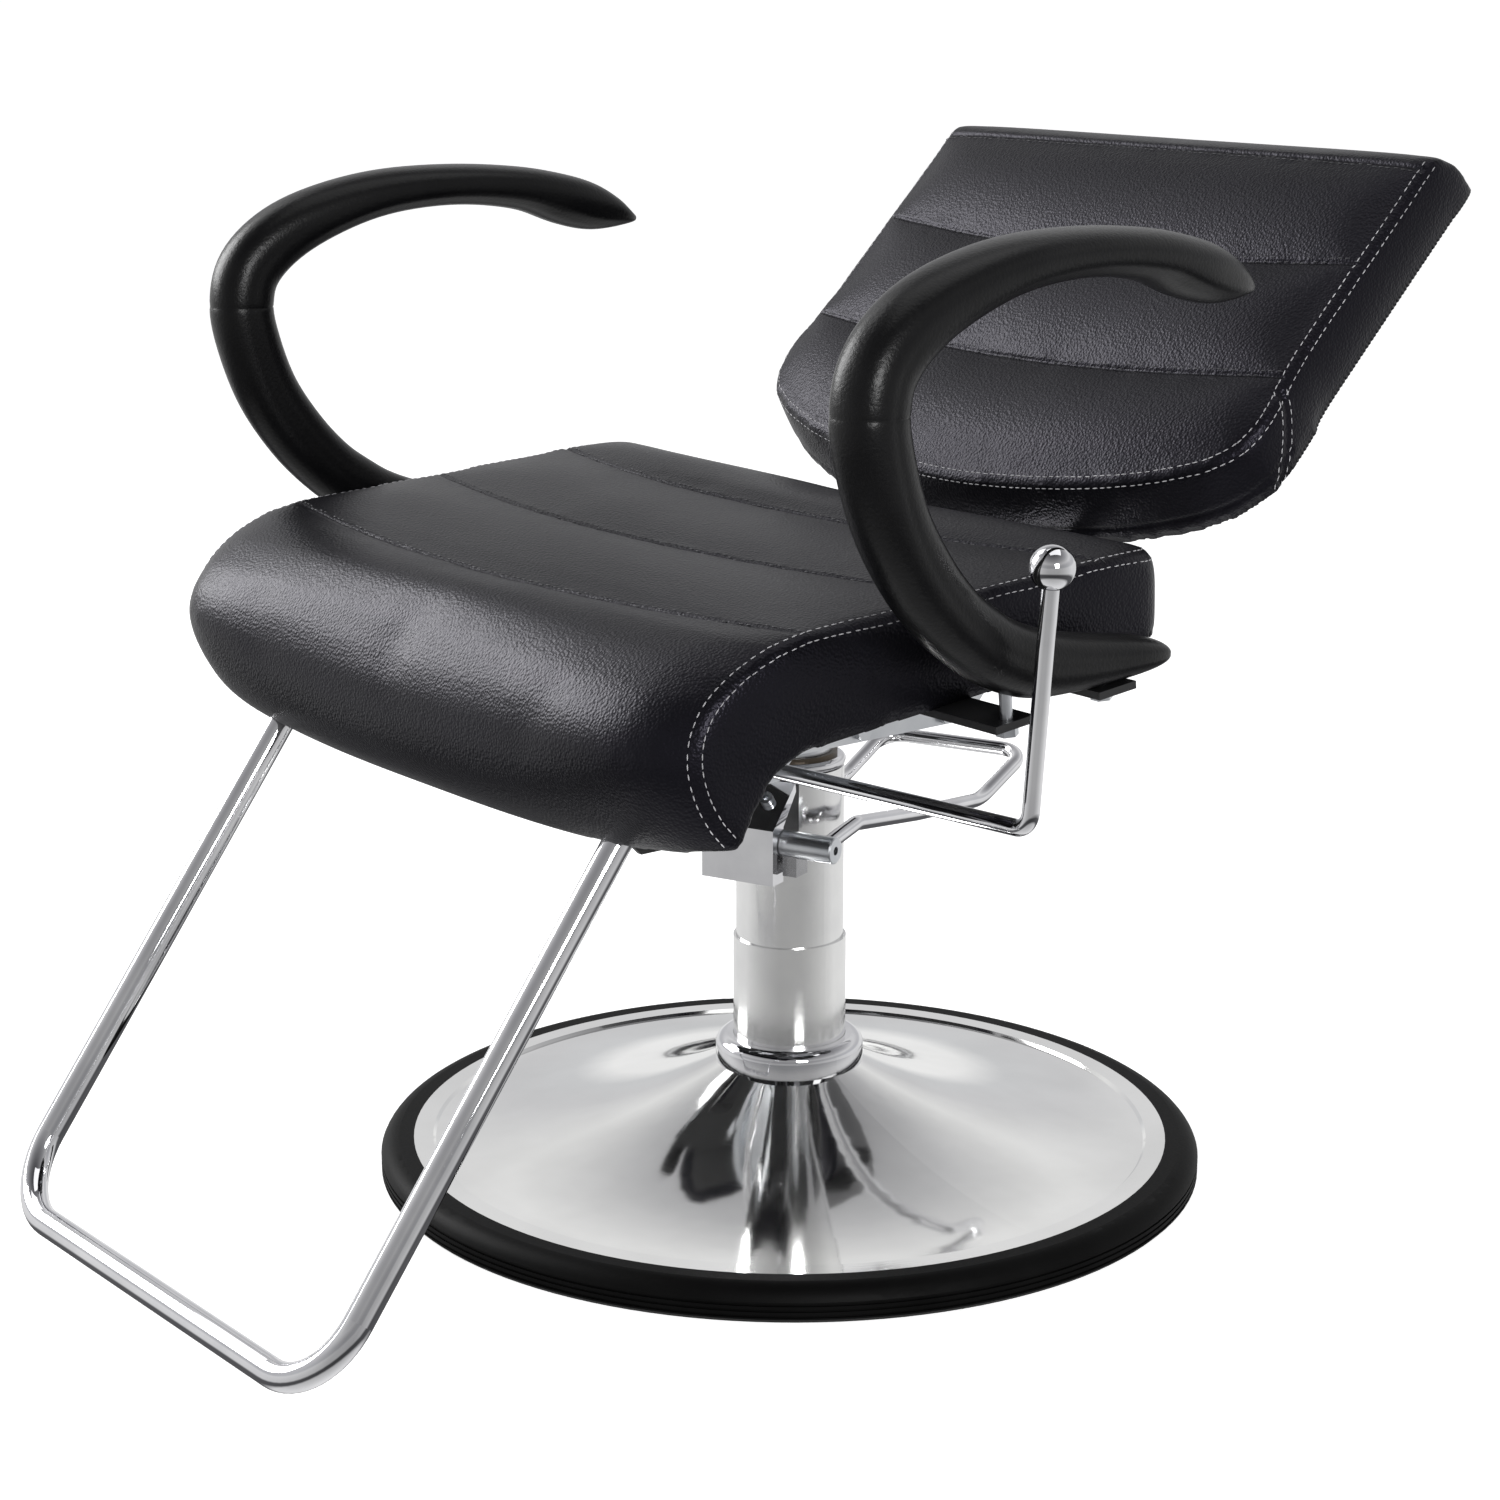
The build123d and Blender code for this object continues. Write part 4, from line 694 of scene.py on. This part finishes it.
arm = {
    "offset": 0.3354, "toe": 4.6,   # the arm plane: m from the middle at the column, degrees of toe-in
    "ringPoints": 40,
    "crease": -28.0,                # degrees round the section, edge of the top pad
    "creaseStep": 0.045,            # share of the half width that the underside stands in
    "seamHeight": 612.0,            # mm, mould seam round the front of the loop
    "seamSink": 0.035, "seamHalf": 1.0,     # share of the section, mm
    "topFrom": 640.0, "topFade": 30.0,      # mm, the crease fades in above the front bend
}
# centre line (along the plane, up), thickness and width in mm, from the tip of the shoe to the beak
armStations = [
    (28, 437.5, 5, 14), (25, 437.5, 11, 28), (17, 438, 18, 36), (0, 439, 25, 40), (-30, 440.5, 32, 40),
    (-62, 443, 38, 40), (-95, 448, 44, 40), (-125, 459, 45, 40), (-148, 473, 45, 40), (-168, 488, 45, 41),
    (-191, 512, 46, 42), (-214, 546, 46, 43), (-228, 583, 46, 44), (-233, 614, 46, 44), (-223, 643, 46, 44),
    (-187, 669, 43, 47), (-126, 688, 35, 51), (-60, 693, 31, 53), (0, 688, 33, 53), (38, 678, 39, 50),
    (64, 671, 37, 43), (84, 666, 26, 34), (98, 662, 13, 23), (106, 660, 5, 11)]


def eased(rows, cuts):
    # Catmull-Rom rows of numbers through the given rows
    rows = [rows[0]] + list(rows) + [rows[-1]]
    made = []
    for before, here, there, after in zip(rows, rows[1:], rows[2:], rows[3:]):
        for k in range(cuts):
            t = k / cuts
            made.append([0.5 * (2 * q + (r - p) * t + (2 * p - 5 * q + 4 * r - s) * t ** 2
                                + (3 * q - p - 3 * r + s) * t ** 3)
                         for p, q, r, s in zip(before, here, there, after)])
    return made + [list(rows[-1])]


def buildArm(name, hand):
    toe = radians(arm["toe"])
    along, across = Vector((-sin(toe), cos(toe), 0)), Vector((cos(toe), sin(toe), 0))
    up = Vector((0, 0, 1))
    rows = [row + [1.0] for row in eased(armStations, 4)]
    seamAt = next(i for i, row in enumerate(rows) if row[1] > arm["seamHeight"])
    low, high = rows[seamAt - 1], rows[seamAt]
    for shift, size in ((arm["seamHalf"], 1.0), (0.0, 1 - arm["seamSink"]), (-arm["seamHalf"], 1.0)):
        share = (arm["seamHeight"] + shift - low[1]) / (high[1] - low[1])
        rows.insert(seamAt, [p + (q - p) * share for p, q in zip(low, high)][:4] + [size])
    seamRows = (seamAt, seamAt + 1, seamAt + 2)
    rows = [row for i, row in enumerate(rows)
            if i in seamRows or abs(row[1] - arm["seamHeight"]) > 2.5]  # no ordinary row this near the seam
    work = bmesh.new()
    last = None
    step = 2 * pi / arm["ringPoints"]
    crease = radians(arm["crease"])
    for index, (a, z, thick, wide, size) in enumerate(rows):
        before, after = rows[max(index - 1, 0)], rows[min(index + 1, len(rows) - 1)]
        way = (along * (after[0] - before[0]) + up * (after[1] - before[1])).normalized()
        outward = across.cross(way)
        top = min(max((z - arm["topFrom"]) / arm["topFade"], 0.0), 1.0)
        ring = bmesh.ops.create_circle(work, segments=arm["ringPoints"], radius=1.0)["verts"]
        middle = Vector((arm["offset"], 0, 0)) + (along * a + up * z) * mm
        for vertex in ring:
            x, y = vertex.co.x, vertex.co.y
            angle = atan2(y, abs(x))
            edge = crease if top > 0.5 else 0.0
            if abs(angle - edge) < step * 0.75:  # the nearest points close up to the crease
                angle = edge + (angle - edge) * 0.2
            inset = top * arm["creaseStep"] if angle < crease else 0.0
            inset += (1 - top) * 0.03 * exp(-(angle / (step * 0.3)) ** 2)  # the mould's parting line
            square = 1 + 0.05 * sin(2 * angle) ** 2
            x = (1 if x >= 0 else -1) * cos(angle) * square * (1 - inset)
            y = sin(angle) * square * (1 - inset * 0.6)
            vertex.co = middle + (across * x * wide / 2 + outward * y * thick / 2) * mm * size
        edges = list({e for v in ring for e in v.link_edges})
        if last:
            bmesh.ops.bridge_loops(work, edges=last + edges)
        else:
            bmesh.ops.edgeloop_fill(work, edges=edges)
        last = edges
    bmesh.ops.edgeloop_fill(work, edges=last)
    if hand < 0:
        bmesh.ops.scale(work, verts=work.verts, vec=(-1, 1, 1))
    piece = keepMesh(name, "seat", finishedMesh(work, name), [armFoam])
    fine = piece.modifiers.new("fine", "SUBSURF")
    fine.levels = fine.render_levels = 1
    return piece


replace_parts(buildArm("arm_pad_left", 1), "arm_left")
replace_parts(buildArm("arm_pad_right", -1), "arm_right")
print("arms: two loops")

stitches = {"stitch": 4.4, "gap": 2.0, "thick": 0.42}   # mm; a bonded 20s thread is 0.5 mm across


def sew(name, body, skin, rows, material):
    surface = BVHTree.FromPolygons([v.co for v in skin.vertices], [p.vertices for p in skin.polygons])
    work = bmesh.new()
    size, gap, thick = (stitches[key] * mm for key in ("stitch", "gap", "thick"))
    for line, aside in rows:
        stitchRow(work, surface, line, aside * mm, size, gap, thick)
    mesh = bpy.data.meshes.new(name)
    work.to_mesh(mesh)
    work.free()
    piece = keepMesh(name, body, mesh, [material])
    print("%s: %d faces" % (name, len(mesh.polygons)))
    return piece


sew("seat_border_stitching", "seat", seatSkin,
    [(line, side * seat["rowAside"]) for line in seatBorders for side in (-1, 1)], thread)
sew("seat_channel_stitching", "seat", seatSkin,
    [(line, seat["channelAside"]) for line in seatChannels], darkThread)
sew("back_border_stitching", "back", backSkin,
    [(line, side * back["rowAside"]) for line in backBorders[:1] + backCorners for side in (-1, 1)], thread)
sew("back_channel_stitching", "back", backSkin,
    [(line, back["channelAside"]) for line in backChannels + backBorders[1:]], darkThread)

camera = {
    "azimuth": 51.46, "down": 14.33,        # degrees
    "place": (1.720, -1.407, 0.877),        # m
    "focal": 3195.0, "imageSize": 1500.0,   # both in the same unit; only their ratio counts
}
lens = bpy.data.cameras.new("camera")
lens.sensor_width = 36.0
lens.lens = camera["focal"] / camera["imageSize"] * lens.sensor_width
eye = bpy.data.objects.new("camera", lens)
scene.collection.objects.link(eye)
eye.location = camera["place"]
turn, drop = radians(camera["azimuth"]), radians(camera["down"])
gaze = Vector((-sin(turn) * cos(drop), cos(turn) * cos(drop), -sin(drop)))
eye.rotation_euler = gaze.to_track_quat("-Z", "Y").to_euler()
scene.camera = eye

floorMaterial, floorTree, floorShader, floorPlace = newMaterial("paleStudioFloor", {
    "Roughness": 0.7, "IOR": 1.3, "Emission Color": toLinear("#ffffff"), "Emission Strength": 0.80})
floorCloud = addNode(floorTree, "ShaderNodeTexNoise", {"Scale": perMetre(400.0)}, {"Vector": floorPlace})
mottledColour(floorTree, floorShader, floorCloud.outputs["Fac"], "#c8c8c8", "#cecece")
floorShape = bmesh.new()
bmesh.ops.create_circle(floorShape, cap_ends=True, segments=64, radius=120.0)
floorMesh = bpy.data.meshes.new("floor")
floorShape.to_mesh(floorMesh)
floorShape.free()
floorMesh.materials.append(floorMaterial)
floor = bpy.data.objects.new("floor", floorMesh)
scene.collection.objects.link(floor)
floor.visible_glossy = False  # gloss shows the studio's own bands below, so black vinyl stays black

world = bpy.data.worlds.new("studio")
scene.world = world
world.use_nodes = True
sky = world.node_tree
sky.nodes.clear()
direction = addNode(sky, "ShaderNodeTexCoord").outputs["Generated"]
height = addNode(sky, "ShaderNodeSeparateXYZ", links={"Vector": direction}).outputs["Z"]
upward = addNode(sky, "ShaderNodeMapRange", {"From Min": -1.0, "From Max": 1.0}, {"Value": height})
bands = addNode(sky, "ShaderNodeValToRGB", links={"Fac": upward.outputs["Result"]})
# from straight down to straight up
studio = [(0.0, "#f4f4f4"), (0.12, "#eeeeee"), (0.18, "#5c5c5e"), (0.27, "#606062"), (0.33, "#e8e8e8"),
          (0.52, "#f0f0f0"), (0.57, "#cecfd1"), (0.64, "#cfcfd1"), (0.72, "#e8e8e8"), (0.82, "#b8b8ba"),
          (1.0, "#4c4c50")]
stops = bands.color_ramp.elements
for index, (place, tone) in enumerate(studio):
    stop = stops[index] if index < 2 else stops.new(place)
    stop.position = place
    stop.color = toLinear(tone)
# the room is darker behind the camera
behindCamera = addNode(sky, "ShaderNodeVectorMath", {"operation": "DOT_PRODUCT", 1: (0.78, -0.62, -0.05)},
                       {0: direction})
dimmed = addNode(sky, "ShaderNodeMapRange", {"From Min": -0.2, "From Max": 0.9, "To Min": 1.0, "To Max": 0.5},
                 {"Value": behindCamera.outputs["Value"]})
background = addNode(sky, "ShaderNodeBackground",
                     links={"Color": bands.outputs["Color"], "Strength": dimmed.outputs["Result"]})
addNode(sky, "ShaderNodeOutputWorld", links={"Surface": background.outputs["Background"]})

# name, place and aim in m, size in m, power in W
lamps = [("leftSoftbox", (-2.7, -1.35, 1.75), (0, 0, 0.5), 1.8, 100.0),
         ("upperSoftbox", (-2.4, -0.4, 2.9), (0, 0.1, 0.6), 1.7, 13.0),
         ("topSoftbox", (0.2, 0.4, 3.2), (0, 0, 0.4), 2.2, 18.0),
         ("sideSoftbox", (2.6, -0.9, 1.3), (0.3, -0.2, 0.5), 0.8, 42.0)]
for name, place, aim, size, power in lamps:
    lamp = bpy.data.lights.new(name, "AREA")
    lamp.shape = "SQUARE"
    lamp.size = size
    lamp.energy = power
    light = bpy.data.objects.new(name, lamp)
    scene.collection.objects.link(light)
    light.location = place
    light.rotation_euler = (Vector(aim) - Vector(place)).to_track_quat("-Z", "Y").to_euler()
scene.view_settings.view_transform = "Standard"
print("stage: camera %.1f mm, %d lamps" % (lens.lens, len(lamps)))
